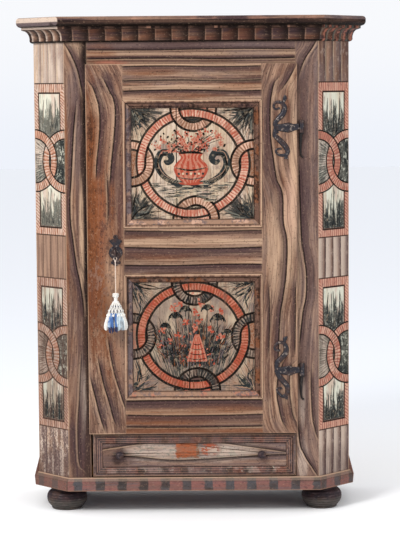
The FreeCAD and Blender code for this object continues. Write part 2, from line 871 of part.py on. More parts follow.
def band(points, widths, thickness):
    """A flat bar along a smooth line through points, which lie in the plane Y = 0."""
    spine = Part.BSplineCurve()
    spine.interpolate(points)
    steps = 16
    sides = ([], [])
    for n in range(steps + 1):
        share = n / steps
        at = spine.FirstParameter + share * (spine.LastParameter - spine.FirstParameter)
        across = spine.tangent(at)[0].cross(Vector(0, 1, 0))
        first, middle, last = widths
        width = first + (middle - first) * 2 * share
        if share > 0.5:
            width = middle + (last - middle) * (2 * share - 1)
        sides[0].append(spine.value(at) + across * (width / 2))
        sides[1].append(spine.value(at) - across * (width / 2))
    edges = []
    for line in sides:
        edge = Part.BSplineCurve()
        edge.interpolate(line)
        edges.append(edge.toShape())
    ends = [Part.LineSegment(sides[0][k], sides[1][k]).toShape() for k in (0, -1)]
    outline = Part.Wire(Part.__sortEdges__([*edges, *ends]))
    return Part.Face(outline).extrude(Vector(0, thickness, 0))


def strap_shape():
    """The strap: a leaf-shaped arm with an S-scroll above and below, and the barrel at its root."""
    reach = s.strap_reach.value
    half = s.strap_half_height.value
    thick = s.strap_thickness.value
    strap_y = (door_face - s.strap_thickness - hinge_y).value
    width = s.scroll_width.value
    root_half, belly_half, tip_half = (
        v.value / 2 for v in (s.arm_root, s.arm_belly, s.arm_tip)
    )
    arm_steps = [
        (0, -root_half),
        (0, root_half),
        (-0.10 * reach, root_half),
        ((-0.36 * reach, belly_half), (-0.70 * reach, tip_half)),
        (-0.92 * reach, 0.9 * tip_half),
        (-0.92 * reach, -0.9 * tip_half),
        (-0.70 * reach, -tip_half),
        ((-0.36 * reach, -belly_half), (-0.10 * reach, -root_half)),
    ]
    arm_wire = wire(lambda across, up: Vector(across, strap_y, up), arm_steps)
    shape = Part.Face(arm_wire).extrude(Vector(0, thick, 0))
    for sign in (1, -1):
        scroll, sprig = (
            [Vector(x * reach, strap_y, sign * z * half) for x, z in line]
            for line in (SCROLL, SPRIG)
        )
        shape = shape.fuse(band(scroll, [width * k for k in SCROLL_TAPER], thick))
        shape = shape.fuse(band(sprig, [0.8 * width, 0.5 * width, 0.4 * width], thick))
    base = Vector(0, 0, barrel_low.value)
    height = s.barrel_height.value
    shape = shape.fuse(Part.makeCylinder(s.barrel_width.value / 2, height, base))
    bore = s.pin_width.value / 2 + s.pin_play.value
    return shape.cut(Part.makeCylinder(bore, height, base)).removeSplitter()


def hinges():
    """Two wrought straps on the door and, on the case, the pintles that they turn on."""
    shape = strap_shape()
    for name, height in HINGES:
        strap = feature(f"hinge_{name}", shape)
        for axis, at in zip("xyz", (hinge_x, hinge_y, height)):
            bind(strap, f"Placement.Base.{axis}", at)
        keep(strap, f"hinge_{name}")
        pintle(f"pintle_{name}", height)


def pintle(name, height):
    """A pin that stands on a collar, with a round tail down the stile that ends in a curl."""
    low = height + barrel_low
    seat = low - s.seat_gap
    tail_low = seat - s.collar_height - s.tail_length
    pin = rod(
        f"{name}_pin", "z", hinge_x, hinge_y, seat - s.collar_height, s.pin_width,
        s.collar_height + s.seat_gap + s.barrel_height + s.seat_gap,
    )
    collar = rod(
        f"{name}_collar", "z", hinge_x, hinge_y, seat - s.collar_height, s.collar_width,
        s.collar_height,
    )
    tail = rod(f"{name}_tail", "z", hinge_x, hinge_y, tail_low, s.tail_width, s.tail_length)
    curl = rod(
        f"{name}_curl", "y", hinge_x, hinge_y - s.curl_thickness / 2, tail_low, s.curl_width,
        s.curl_thickness,
    )
    half = s.tail_plate_width / 2
    plate = box(
        f"{name}_plate",
        (hinge_x - half, hinge_x + half),
        (front - s.tail_plate_thickness, front),
        (tail_low, seat - s.collar_height),
    )
    bar = s.pin_width / 2
    arms = [
        box(
            f"{name}_arm_{n}",
            (hinge_x - bar, hinge_x + bar),
            (hinge_y, front - s.tail_plate_thickness),
            (base, base + s.tail_width),
        )
        for n, base in enumerate((tail_low, seat - s.collar_height - s.tail_width))
    ]
    keep(fuse(name, pin, collar, tail, curl, plate, *arms), name)


def rose_head(name, x, y, z, width, height, top):
    """A forged nail head, a blunt pyramid, on a face at y that looks forward."""
    obj = doc.addObject("Part::Wedge", name)
    half, flat = as_size(width) / 2, as_size(top) / 2
    # The wedge's own Y runs from the broad foot to the narrow top, and is turned to look forward
    for prop, size in (
        ("Xmin", -half), ("Xmax", half), ("Ymin", as_size(0)), ("Ymax", height), ("Zmin", -half),
        ("Zmax", half), ("X2min", -flat), ("X2max", flat), ("Z2min", -flat), ("Z2max", flat),
    ):
        bind(obj, prop, size)
    obj.Placement = Placement(Vector(), Rotation(Vector(0, 0, 1), 180))
    for axis, at in zip("xyz", (x, y, z)):
        bind(obj, f"Placement.Base.{axis}", at)
    return obj


def hinge_nails():
    """A rivet in the middle of each hinge arm and a nail at the foot of each scroll."""
    heads = []
    strap_face = door_face - s.strap_thickness
    for hinge, height in HINGES:
        middle = hinge_x - 0.4 * s.strap_reach
        tip = hinge_x - 0.84 * s.strap_reach
        lift = 0.17 * s.strap_half_height
        places = [(middle, height, s.boss_width), (tip, height - lift, s.nail_width)]
        places.append((tip, height + lift, s.nail_width))
        for n, (x, z, width) in enumerate(places):
            heads.append(
                rose_head(f"head_{hinge}_{n}", x, strap_face, z, width, s.nail_height, s.nail_top)
            )
    keep(group("hinge_nails", *heads), "hinge_nails")


# ---------------------------------------------------------------- lock, key and tassel


def escutcheon():
    """The keyhole plate: round in the middle, with a crown and a hanging eye above and a foot below."""
    name = "escutcheon"
    body = doc.addObject("PartDesign::Body", name)
    plane = "XZ_Plane"
    neck, crown = s.plate_neck / 2, s.plate_crown / 2
    x, z = key_x, key_height
    half = s.plate_width / 2
    pad(body, circle(body, "plate_middle", plane, x, z, s.plate_width), s.plate_thickness)
    above = [
        (neck, z + half * 0.6),
        (neck, z + half),
        (crown, z + s.plate_up * 0.86),
        (neck, z + s.plate_up),
    ]
    below = [
        (neck, z - half * 0.6),
        (neck, z - half),
        (crown * 0.8, z - s.plate_down * 0.8),
        (0.3 * neck, z - s.plate_down),
    ]
    for label, right in (("plate_crown_plan", above), ("plate_foot_plan", below)):
        outline = [(x + a, b) for a, b in right] + [(x - a, b) for a, b in reversed(right)]
        pad(body, polygon(body, label, plane, outline), s.plate_thickness)
    eye = z + s.plate_up + 0.35 * s.plate_eye
    pad(body, circle(body, "plate_eye_ring", plane, x, eye, s.plate_eye), s.plate_thickness)
    pocket(
        body, circle(body, "plate_eye_opening", plane, x, eye, s.plate_eye_hole), s.plate_thickness
    )
    play = s.shank_play
    hole = s.shank_width + 2 * play
    pocket(body, circle(body, "plate_keyhole", plane, x, z, hole), s.plate_thickness)
    slot = s.bit_thickness / 2 + play
    drop = s.shank_width / 2 + s.bit_height + play
    slot_plan = [(x - slot, z), (x + slot, z), (x + slot, z - drop), (x - slot, z - drop)]
    pocket(body, polygon(body, "plate_slot", plane, slot_plan), s.plate_thickness)
    bind(body, "Placement.Base.y", door_face)
    keep(body, name)


def lock():
    """The iron lock case on the back of the door, its bolt, and the keeper on the case's stile."""
    z = key_height
    half = s.lock_height / 2
    case_box = box(
        "lock_block",
        (lock_left, lock_left + s.lock_width),
        (door_back, door_back + s.lock_depth),
        (z - half, z + half),
    )
    reach = s.shank_width + 2 * (s.bit_height + s.bit_play)
    chamber_front = door_back + s.lock_front
    chamber = rod(
        "lock_chamber", "y", key_x, chamber_front, z, reach, s.bit_length + 2 * s.bit_play
    )
    play = s.bolt_play
    bolt_half = s.bolt_height / 2
    run = s.bolt_length + s.bolt_throw
    channel = box(
        "lock_channel",
        (lock_left, lock_left + run),
        (bolt_front - play, bolt_front + s.bolt_thickness + play),
        (z - bolt_half - play, z + bolt_half + play),
    )
    entry = keyhole("lock_entry", door_back, s.lock_front + s.bit_play, s.shank_play)
    keep(cut("lock_case", case_box, chamber, channel, *entry), "lock_case")
    bolt = box(
        "lock_bolt",
        (lock_left, lock_left + s.bolt_length),
        (bolt_front, bolt_front + s.bolt_thickness),
        (z - bolt_half, z + bolt_half),
    )
    keep(bolt, "lock_bolt")
    keeper_right = -half_opening - s.keeper_inset
    across = (keeper_right - s.keeper_length, keeper_right)
    gap = bolt_half + s.keeper_play
    bridge_front = bolt_front + s.bolt_thickness + s.keeper_play
    legs = [
        box(f"keeper_leg_{n}", across, (frame_back, bridge_front), up)
        for n, up in enumerate(
            ((z - gap - s.keeper_bar, z - gap), (z + gap, z + gap + s.keeper_bar))
        )
    ]
    bridge = box(
        "keeper_bridge",
        across,
        (bridge_front, bridge_front + s.keeper_bar),
        (z - gap - s.keeper_bar, z + gap + s.keeper_bar),
    )
    keep(fuse("bolt_keeper", *legs, bridge), "bolt_keeper")


def key():
    """The key in the lock: an upright ring for a bow, a collar, a round shank and a bit."""
    x, z = key_x, key_height
    bow_y = front - s.bow_out
    bow_radius = (s.bow_width - s.bow_bar) / 2
    bow = doc.addObject("Part::Torus", "key_bow")
    bow.Placement = Placement(Vector(), TURNS["x"])
    bind(bow, "Radius1", bow_radius)
    bind(bow, "Radius2", s.bow_bar / 2)
    for axis, at in zip("xyz", (x, bow_y, z)):
        bind(bow, f"Placement.Base.{axis}", at)
    shank_start = bow_y + bow_radius
    bit_start = door_back + s.lock_front + s.bit_play
    shank_end = bit_start + s.bit_length
    shank = rod("key_shank", "y", x, shank_start, z, s.shank_width, shank_end - shank_start)
    collar_end = door_face - s.plate_thickness - s.seat_gap
    collar = rod(
        "key_collar", "y", x, collar_end - s.collar_key_length, z, s.collar_key, s.collar_key_length
    )
    half = s.bit_thickness / 2
    bit = box(
        "key_bit",
        (x - half, x + half),
        (bit_start, shank_end),
        (z - s.shank_width / 2 - s.bit_height, z),
    )
    keep(fuse("key", bow, shank, collar, bit), "key")


def tassel():
    """The cord that hangs from the key's bow, and the tassel on its end."""
    x = key_x
    y = front - s.bow_out
    bar_z = key_height - (s.bow_width - s.bow_bar) / 2
    ring = doc.addObject("Part::Torus", "cord_ring")
    ring.Placement = Placement(Vector(), TURNS["y"])
    ring_radius = (s.bow_bar + s.cord_width) / 2 + s.cord_play
    tassel_top = bar_z - ring_radius - s.cord_length
    bind(ring, "Radius1", ring_radius)
    bind(ring, "Radius2", s.cord_width / 2)
    for axis, at in zip("xyz", (x, y, bar_z)):
        bind(ring, f"Placement.Base.{axis}", at)
    hanging = rod("cord_run", "z", x, y, tassel_top, s.cord_width, s.cord_length)
    keep(fuse("key_cord", ring, hanging), "key_cord")

    head = s.tassel_head.value / 2
    wide, deep = s.tassel_width.value / 2, s.tassel_depth.value / 2
    height = s.tassel_height.value
    # Levels below the top, as shares of the height, each with its half width and half depth
    levels = (
        (0.0, 0.5 * head, 0.5 * head),
        (0.03, head, head),
        (0.11, head, head),
        (0.14, 0.75 * head, 0.75 * head),
        (0.30, 0.42 * wide, 0.50 * deep),
        (0.58, 0.76 * wide, 0.82 * deep),
        (0.86, wide, deep),
        (1.0, 0.92 * wide, 0.92 * deep),
    )
    rings = []
    for share, half_x, half_y in levels:
        middle = Vector(0, 0, -share * height)
        if half_x == half_y:
            edge = Part.Circle(middle, UP, half_x).toShape()
        else:
            edge = Part.Ellipse(middle, half_x, half_y).toShape()
        rings.append(Part.Wire([edge]))
    skirt = feature("tassel", Part.makeLoft(rings, True, True))
    for axis, at in zip("xyz", (x, y, tassel_top)):
        bind(skirt, f"Placement.Base.{axis}", at)
    keep(skirt, "tassel")


# ---------------------------------------------------------------- drawer

drawer_left = -half_opening + s.drawer_gap_left
drawer_right = half_opening - s.drawer_gap_right
drawer_low = s.bottom_top + s.drawer_gap_bottom
drawer_high = s.door_bottom - s.drawer_gap_top
side_left = drawer_left + s.drawer_set_in
side_right = drawer_right - s.drawer_set_in
drawer_inner_y = front + s.drawer_front
drawer_back_y = inner_back - s.drawer_room
side_low = s.bottom_top + s.seat_gap
KNOBS = (("left", drawer_left + s.knob_from_left), ("right", drawer_right - s.knob_from_right))
knob_height = drawer_low + s.knob_rise


def drawer():
    """The drawer: front with a mitred moulding, sides, back and bottom."""
    holes = [
        rod(
            f"knob_hole_{side}", "y", x, front, knob_height, s.knob_neck + 2 * s.dowel_play,
            s.drawer_front,
        )
        for side, x in KNOBS
    ]
    plank = box(
        "drawer_plank", (drawer_left, drawer_right), (front, drawer_inner_y), (drawer_low, drawer_high)
    )
    keep(cut("drawer_front", plank, *holes), "drawer_front")
    inset = s.drawer_moulding_inset
    width, high = s.drawer_moulding_width.value, s.drawer_moulding_proud.value
    profile = [
        (0, 0),
        (0, 0.6 * high),
        ((0.10 * width, 0.88 * high), (0.22 * width, high)),
        (0.50 * width, high),
        (0.55 * width, 0.62 * high),
        ((0.75 * width, 0.52 * high), (0.90 * width, 0.25 * high)),
        (width, 0.25 * high),
        (width, 0),
    ]
    strips = frame_strips(
        drawer_left + inset, drawer_right - inset, drawer_low + inset, drawer_high - inset,
        front, profile,
    )
    keep(feature("drawer_moulding", strips), "drawer_moulding")
    side_high = side_low + s.drawer_side_height
    board = s.drawer_board
    for side, across in (
        ("left", (side_left, side_left + board)),
        ("right", (side_right - board, side_right)),
    ):
        name = f"drawer_side_{side}"
        keep(box(name, across, (drawer_inner_y, drawer_back_y), (side_low, side_high)), name)
    between = (side_left + board, side_right - board)
    bottom_low = side_low + s.drawer_bottom_up
    bottom_high = bottom_low + s.drawer_bottom
    back_board = box(
        "drawer_back",
        between,
        (drawer_back_y - board, drawer_back_y),
        (bottom_high, side_high - s.drawer_back_drop),
    )
    keep(back_board, "drawer_back")
    bottom = box("drawer_bottom", between, (drawer_inner_y, drawer_back_y), (bottom_low, bottom_high))
    keep(bottom, "drawer_bottom")


def knobs():
    """Two turned knobs, each with a tenon through the drawer front."""
    for side, x in KNOBS:
        name = f"knob_{side}"
        z = knob_height
        flange_front = front - s.knob_flange_length
        neck_front = front - s.knob_neck_length
        tenon = rod(
            f"{name}_tenon", "y", x, neck_front, z, s.knob_neck, s.knob_neck_length + s.drawer_front
        )
        flange = rod(
            f"{name}_flange", "y", x, flange_front, z, s.knob_flange, s.knob_flange_length
        )
        half = s.knob_width / 2
        head_y = neck_front - s.knob_head / 2 + s.knob_flange_length
        head = ball(f"{name}_head", x, head_y, z, half, s.knob_head / 2, half)
        keep(fuse(name, tenon, flange, head), name)


def drawer_guides():
    """Battens on the case bottom that keep the drawer straight, and the two blocks that stop it."""
    low, high = s.bottom_top, s.bottom_top + s.guide_height
    guides = [
        box(f"guide_{side}", across, (frame_back, inner_back), (low, high))
        for side, across in (
            ("left", (side_left - s.guide_play - s.guide_width, side_left - s.guide_play)),
            ("right", (side_right + s.guide_play, side_right + s.guide_play + s.guide_width)),
        )
    ]
    stop_y = drawer_back_y + s.seat_gap
    stops = [
        box(
            f"stop_{side}", across, (stop_y, stop_y + s.stop_length), (low, low + s.stop_height)
        )
        for side, across in (
            ("left", (side_left - s.guide_play, side_left + 2 * s.drawer_board)),
            ("right", (side_right - 2 * s.drawer_board, side_right + s.guide_play)),
        )
    ]
    keep(group("drawer_guides", *guides, *stops), "drawer_guides")


def check_and_write():
    """Stops on any failed object or bad shape, then writes one STEP file for each sub-part."""
    doc.recompute()
    for obj in doc.Objects:
        if {"Invalid", "Error"} & set(obj.State):
            raise RuntimeError(f"{obj.Name} is {obj.State}")
    labels = [obj.Label for obj in nodes]
    if len(set(labels)) != len(labels):
        raise RuntimeError("two sub-parts share a name")
    for obj in nodes:
        shape = obj.Shape
        if shape.isNull() or not shape.isValid() or not shape.Solids:
            raise RuntimeError(f"{obj.Label} has no valid solid")
    os.makedirs("parts", exist_ok=True)
    for obj in nodes:
        obj.Shape.exportStep(os.path.join("parts", f"{obj.Label}.step"))
    whole = Part.makeCompound([obj.Shape for obj in nodes]).optimalBoundingBox(True, False)
    print(f"{len(nodes)} sub-parts, {whole.XLength:.1f} x {whole.YLength:.1f} x {whole.ZLength:.1f} mm")


feet()
corner_blocks()
plinth()
carcass()
shelves()
cornice()
door_frame()
door_panels()
door_mouldings()
hinges()
hinge_nails()
escutcheon()
lock()
key()
tassel()
drawer()
knobs()
drawer_guides()
check_and_write()
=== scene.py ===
"""Finish for a painted one-door cupboard: wood-graining, painted panels, forged iron, tassel."""

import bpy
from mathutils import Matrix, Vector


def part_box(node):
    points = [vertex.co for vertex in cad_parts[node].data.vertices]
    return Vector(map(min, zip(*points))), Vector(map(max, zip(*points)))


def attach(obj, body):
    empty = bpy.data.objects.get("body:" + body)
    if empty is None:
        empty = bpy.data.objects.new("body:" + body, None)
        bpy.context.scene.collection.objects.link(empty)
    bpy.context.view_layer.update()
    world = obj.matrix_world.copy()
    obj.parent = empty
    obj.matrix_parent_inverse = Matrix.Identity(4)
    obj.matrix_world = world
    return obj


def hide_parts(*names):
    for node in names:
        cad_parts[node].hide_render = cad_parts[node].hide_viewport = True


bl_info = {
    "name": "Painted Cupboard", "version": (1, 0, 0), "blender": (4, 5, 0),
    "location": "3D View > Sidebar > Cupboard",
    "description": "Paints and dresses a one-door cupboard around its fixed frame",
    "category": "Object",
}

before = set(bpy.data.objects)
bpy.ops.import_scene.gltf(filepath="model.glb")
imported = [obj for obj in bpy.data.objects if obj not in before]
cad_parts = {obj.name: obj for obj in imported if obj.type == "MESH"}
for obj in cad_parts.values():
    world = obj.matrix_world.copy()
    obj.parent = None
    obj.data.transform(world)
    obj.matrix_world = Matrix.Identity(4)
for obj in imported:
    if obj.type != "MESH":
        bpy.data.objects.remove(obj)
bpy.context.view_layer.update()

import random
from math import cos, dist, hypot, pi, radians, sin, sqrt

import bmesh
import bpy
from mathutils import Matrix, Vector

MM = 0.001
PANEL_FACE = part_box("panel_upper")[0].y
KEY_AXIS = -0.279
HINGE_AXIS = (0.399, -0.204)


# ------------------------------------------------------------------ settings


def swatch(name, description, red, green, blue):
    """A colour that the user can change, given as it looks on screen."""
    return bpy.props.FloatVectorProperty(
        name=name, description=description, default=(red / 255, green / 255, blue / 255), size=3, min=0,
        max=1, subtype="COLOR_GAMMA"
    )


def measure(name, description, value):
    """A length in metres that the user can change."""
    return bpy.props.FloatProperty(
        name=name, description=description, default=value, min=0, unit="LENGTH"
    )


class CupboardColours(bpy.types.PropertyGroup):
    """Paint, metal and thread colours."""

    tan: swatch("Tan", "Light graining paint", 147, 115, 95)
    straw: swatch("Straw", "Lightest strokes beside a dark vein", 190, 158, 130)
    brown: swatch("Brown", "Middle graining paint", 100, 73, 61)
    dusk: swatch("Dusk", "Purple brown shade beside a vein", 68, 50, 51)
    # Vein, dusk, soot and slate are also used for painted shade and shadows, and straw and bone for
    # painted highlights.
    vein: swatch("Vein", "Dark vein lines", 26, 16, 13)
    ochre: swatch("Ochre", "Warm wood where the paint has rubbed away", 114, 66, 38)
    red: swatch("Red", "Brick red paint", 152, 66, 48)
    salmon: swatch("Salmon", "Ring bands", 170, 106, 86)
    peach: swatch("Peach", "Pale strokes in the ring bands", 200, 160, 138)
    cream: swatch("Cream", "Panel grounds", 186, 166, 140)
    blush: swatch("Blush", "Pale bands of the canted corners", 188, 138, 114)
    rose: swatch("Rose", "Plinth blocks", 138, 86, 78)
    bone: swatch("Bone", "Pale canted corners", 196, 176, 160)
    chalk: swatch("Chalk", "Grounds of the canted windows", 206, 204, 186)
    twine: swatch("Twine", "The key's cord", 226, 206, 190)
    slate: swatch("Slate", "Grey purple strokes", 102, 88, 88)
    ash: swatch("Ash", "Dull light strokes on the lower panel", 134, 116, 102)
    moss: swatch("Moss", "Grey green foliage", 97, 95, 86)
    copper: swatch("Copper", "Orange brown patch on the drawer", 152, 84, 54)
    leaf: swatch("Leaf", "Dark green foliage", 38, 42, 42)
    soot: swatch("Soot", "Black outlines", 14, 7, 4)
    pine: swatch("Pine", "Bare wood inside and behind", 150, 110, 72)
    iron: swatch("Iron", "Forged iron", 42, 40, 46)
    rust: swatch("Rust", "Brown bloom on the iron", 66, 44, 36)
    thread: swatch("Thread", "Cream threads", 240, 237, 230)
    sky: swatch("Sky", "Pale blue threads", 196, 214, 224)
    blue: swatch("Blue", "Blue tuft", 74, 116, 176)
    navy: swatch("Navy", "Tips of the blue tuft", 34, 48, 84)


class OrnamentSizes(bpy.types.PropertyGroup):
    """Sizes of the painted rings and strands."""

    ring_radius: measure("Ring Radius", "Middle of a panel's large ring", 0.182)
    arc_radius: measure("Arc Radius", "Middle of the four arcs at the panel's edges", 0.067)
    band: measure("Band", "Half width of a painted band", 0.0118)
    outline: measure("Outline", "Width of the dark line along a band", 0.0084)
    strand_radius: measure("Strand Radius", "Middle of a canted corner's strands, across", 0.1115)
    strand_height: measure("Strand Height", "Middle of a canted corner's strands, up", 0.098)
    side_band: measure("Side Band", "Band down a canted corner's edge", 0.03)
    end_band: measure("End Band", "Band across the end of a canted corner's block", 0.034)
    strand_drop: measure("Strand Drop", "How far the strands sit below the block's middle", 0.006)


class TasselSizes(bpy.types.PropertyGroup):
    """Sizes of the cord and tassel on the key."""

    cord_length: measure("Cord Length", "From the key's bow to the tassel", 0.119)
    cord_width: measure("Cord Width", "Thickness of the cord", 0.003)
    skirt_width: measure("Skirt Width", "Half width of the tassel", 0.0465)
    skirt_depth: measure("Skirt Depth", "Half depth of the tassel", 0.0315)


class StageSettings(bpy.types.PropertyGroup):
    """The camera's place and lens."""

    distance: measure("Camera Distance", "From the camera to the frame's origin", 7.5355)
    height: measure("Camera Height", "Height of the camera", 1.5805)
    lens: bpy.props.FloatProperty(
        name="Lens", description="Focal length in millimetres", default=135.58, min=1
    )


def paint(name):
    """A colour of the settings, as a node's socket takes it."""
    screen = getattr(bpy.context.scene.cupboard_colours, name)
    return tuple(((c + 0.055) / 1.055) ** 2.4 if c > 0.04045 else c / 12.92 for c in screen) + (1,)


# ------------------------------------------------------------------ shader maths


class Field:
    """A node's output that can be used in arithmetic. & and | take the smaller and the
    larger of two fields, and ~ is one minus it."""

    def __init__(self, nodes, socket):
        self.nodes, self.socket = nodes, socket

    def maths(self, operation, *terms):
        return self.nodes.node("ShaderNodeMath", {"operation": operation}, terms)

    def output(self, name):
        """Another output of the same node."""
        return Field(self.nodes, self.socket.node.outputs[name])

    def __add__(self, other):
        return self.maths("ADD", self, other)

    def __radd__(self, other):
        return self.maths("ADD", other, self)

    def __sub__(self, other):
        return self.maths("SUBTRACT", self, other)

    def __rsub__(self, other):
        return self.maths("SUBTRACT", other, self)

    def __mul__(self, other):
        return self.maths("MULTIPLY", self, other)

    def __rmul__(self, other):
        return self.maths("MULTIPLY", other, self)

    def __truediv__(self, other):
        return self.maths("DIVIDE", self, other)

    def __rtruediv__(self, other):
        return self.maths("DIVIDE", other, self)

    def __pow__(self, other):
        return self.maths("POWER", self, other)

    def __neg__(self):
        return self.maths("MULTIPLY", self, -1)

    def __abs__(self):
        return self.maths("ABSOLUTE", self)

    def __lt__(self, other):
        return self.maths("LESS_THAN", self, other)

    def __gt__(self, other):
        return self.maths("GREATER_THAN", self, other)

    def __and__(self, other):
        return self.maths("MINIMUM", self, other)

    def __or__(self, other):
        return self.maths("MAXIMUM", self, other)

    def __invert__(self):
        return self.maths("SUBTRACT", 1, self)

    def fraction(self):
        return self.maths("FRACT", self)

    def rise(self, low, high):
        """0 below low, 1 above high, smooth between."""
        return self.nodes.node(
            "ShaderNodeMapRange", {"interpolation_type": "SMOOTHSTEP"},
            {"Value": self, "From Min": low, "From Max": high}
        )

    def fall(self, low, high):
        """1 below low, 0 above high, smooth between."""
        return ~self.rise(low, high)

    def between(self, low, high, soft):
        """1 from low to high, with soft edges of that width."""
        return self.rise(low - soft, low + soft) & self.fall(high - soft, high + soft)


class Nodes:
    """The nodes of one material or of the world."""

    def __init__(self, tree):
        self.tree = tree

    def node(self, kind, settings, sockets=(), output=0):
        made = self.tree.nodes.new(kind)
        for key, value in settings.items():
            if key == "route":
                line = made.mapping.curves[0]
                while len(line.points) < len(value):
                    line.points.new(0.5, 0.5)
                for point, place in zip(line.points, value):
                    point.location = place
                made.mapping.update()
            else:
                setattr(made, key, value)
        terms = sockets.items() if isinstance(sockets, dict) else enumerate(sockets)
        for key, term in terms:
            if isinstance(term, Field):
                self.tree.links.new(term.socket, made.inputs[key])
            else:
                made.inputs[key].default_value = paint(term) if isinstance(term, str) else term
        return Field(self, made.outputs[output])

    def vector(self, x, y, z):
        return self.node("ShaderNodeCombineXYZ", {}, [x, y, z])

    def cells(self, x, y, z, detail=3, rough=0.6):
        """Noise at hand-made coordinates."""
        return self.node(
            "ShaderNodeTexNoise", {},
            {"Vector": self.vector(x, y, z), "Scale": 1, "Detail": detail, "Roughness": rough},
        )

    def mix(self, under, over, mask):
        """over laid on under where mask is 1. Each is a colour or the name of a paint."""
        return self.node(
            "ShaderNodeMix", {"data_type": "RGBA", "clamp_factor": True}, {0: mask, 6: under, 7: over}, 2
        )


class Finish(Nodes):
    """A material being mixed. across, along and depth are metres over the piece, along being
    the way that the wood runs."""

    def __init__(self, name, along="z", across="x"):
        self.material = bpy.data.materials.new(name)
        self.material.use_nodes = True
        super().__init__(self.material.node_tree)
        self.shader = self.tree.nodes["Principled BSDF"]
        place = self.node("ShaderNodeTexCoord", {}, {}, "Object")
        self.x = self.node("ShaderNodeSeparateXYZ", {}, [place], "X")
        self.y, self.z = self.x.output("Y"), self.x.output("Z")
        axes = {"x": self.x, "y": self.y, "z": self.z}
        self.along, self.across = axes.pop(along), axes.pop(across)
        self.depth = axes.popitem()[1]
        self.flow = self.across
        self.colour = None

    def coat(self, tone, mask):
        """Lays a paint or another colour over the finish where mask is 1."""
        self.colour = self.mix(self.colour, tone, mask)

    def noise(self, across, along, depth, detail=3, rough=0.55, seed=0):
        """Noise with that many cells in a metre, across, along and through the wood."""
        return self.cells(
            self.flow * across + seed, self.along * along + seed * 1.7, self.depth * depth, detail, rough
        )

    def done(self, rough, height=None, metal=None, relief=0.0006, force=0.5, gloss=0.08):
        self.shader.inputs["Specular IOR Level"].default_value = gloss
        wires = {"Base Color": self.colour, "Roughness": rough}
        if metal is not None:
            wires["Metallic"] = metal
        if height is not None:
            wires["Normal"] = self.node(
                "ShaderNodeBump", {}, {"Height": height, "Strength": force, "Distance": relief}, "Normal"
            )
        for name, term in wires.items():
            if isinstance(term, Field):
                self.tree.links.new(term.socket, self.shader.inputs[name])
            else:
                self.shader.inputs[name].default_value = term
        return self.material


# ------------------------------------------------------------------ grained boards


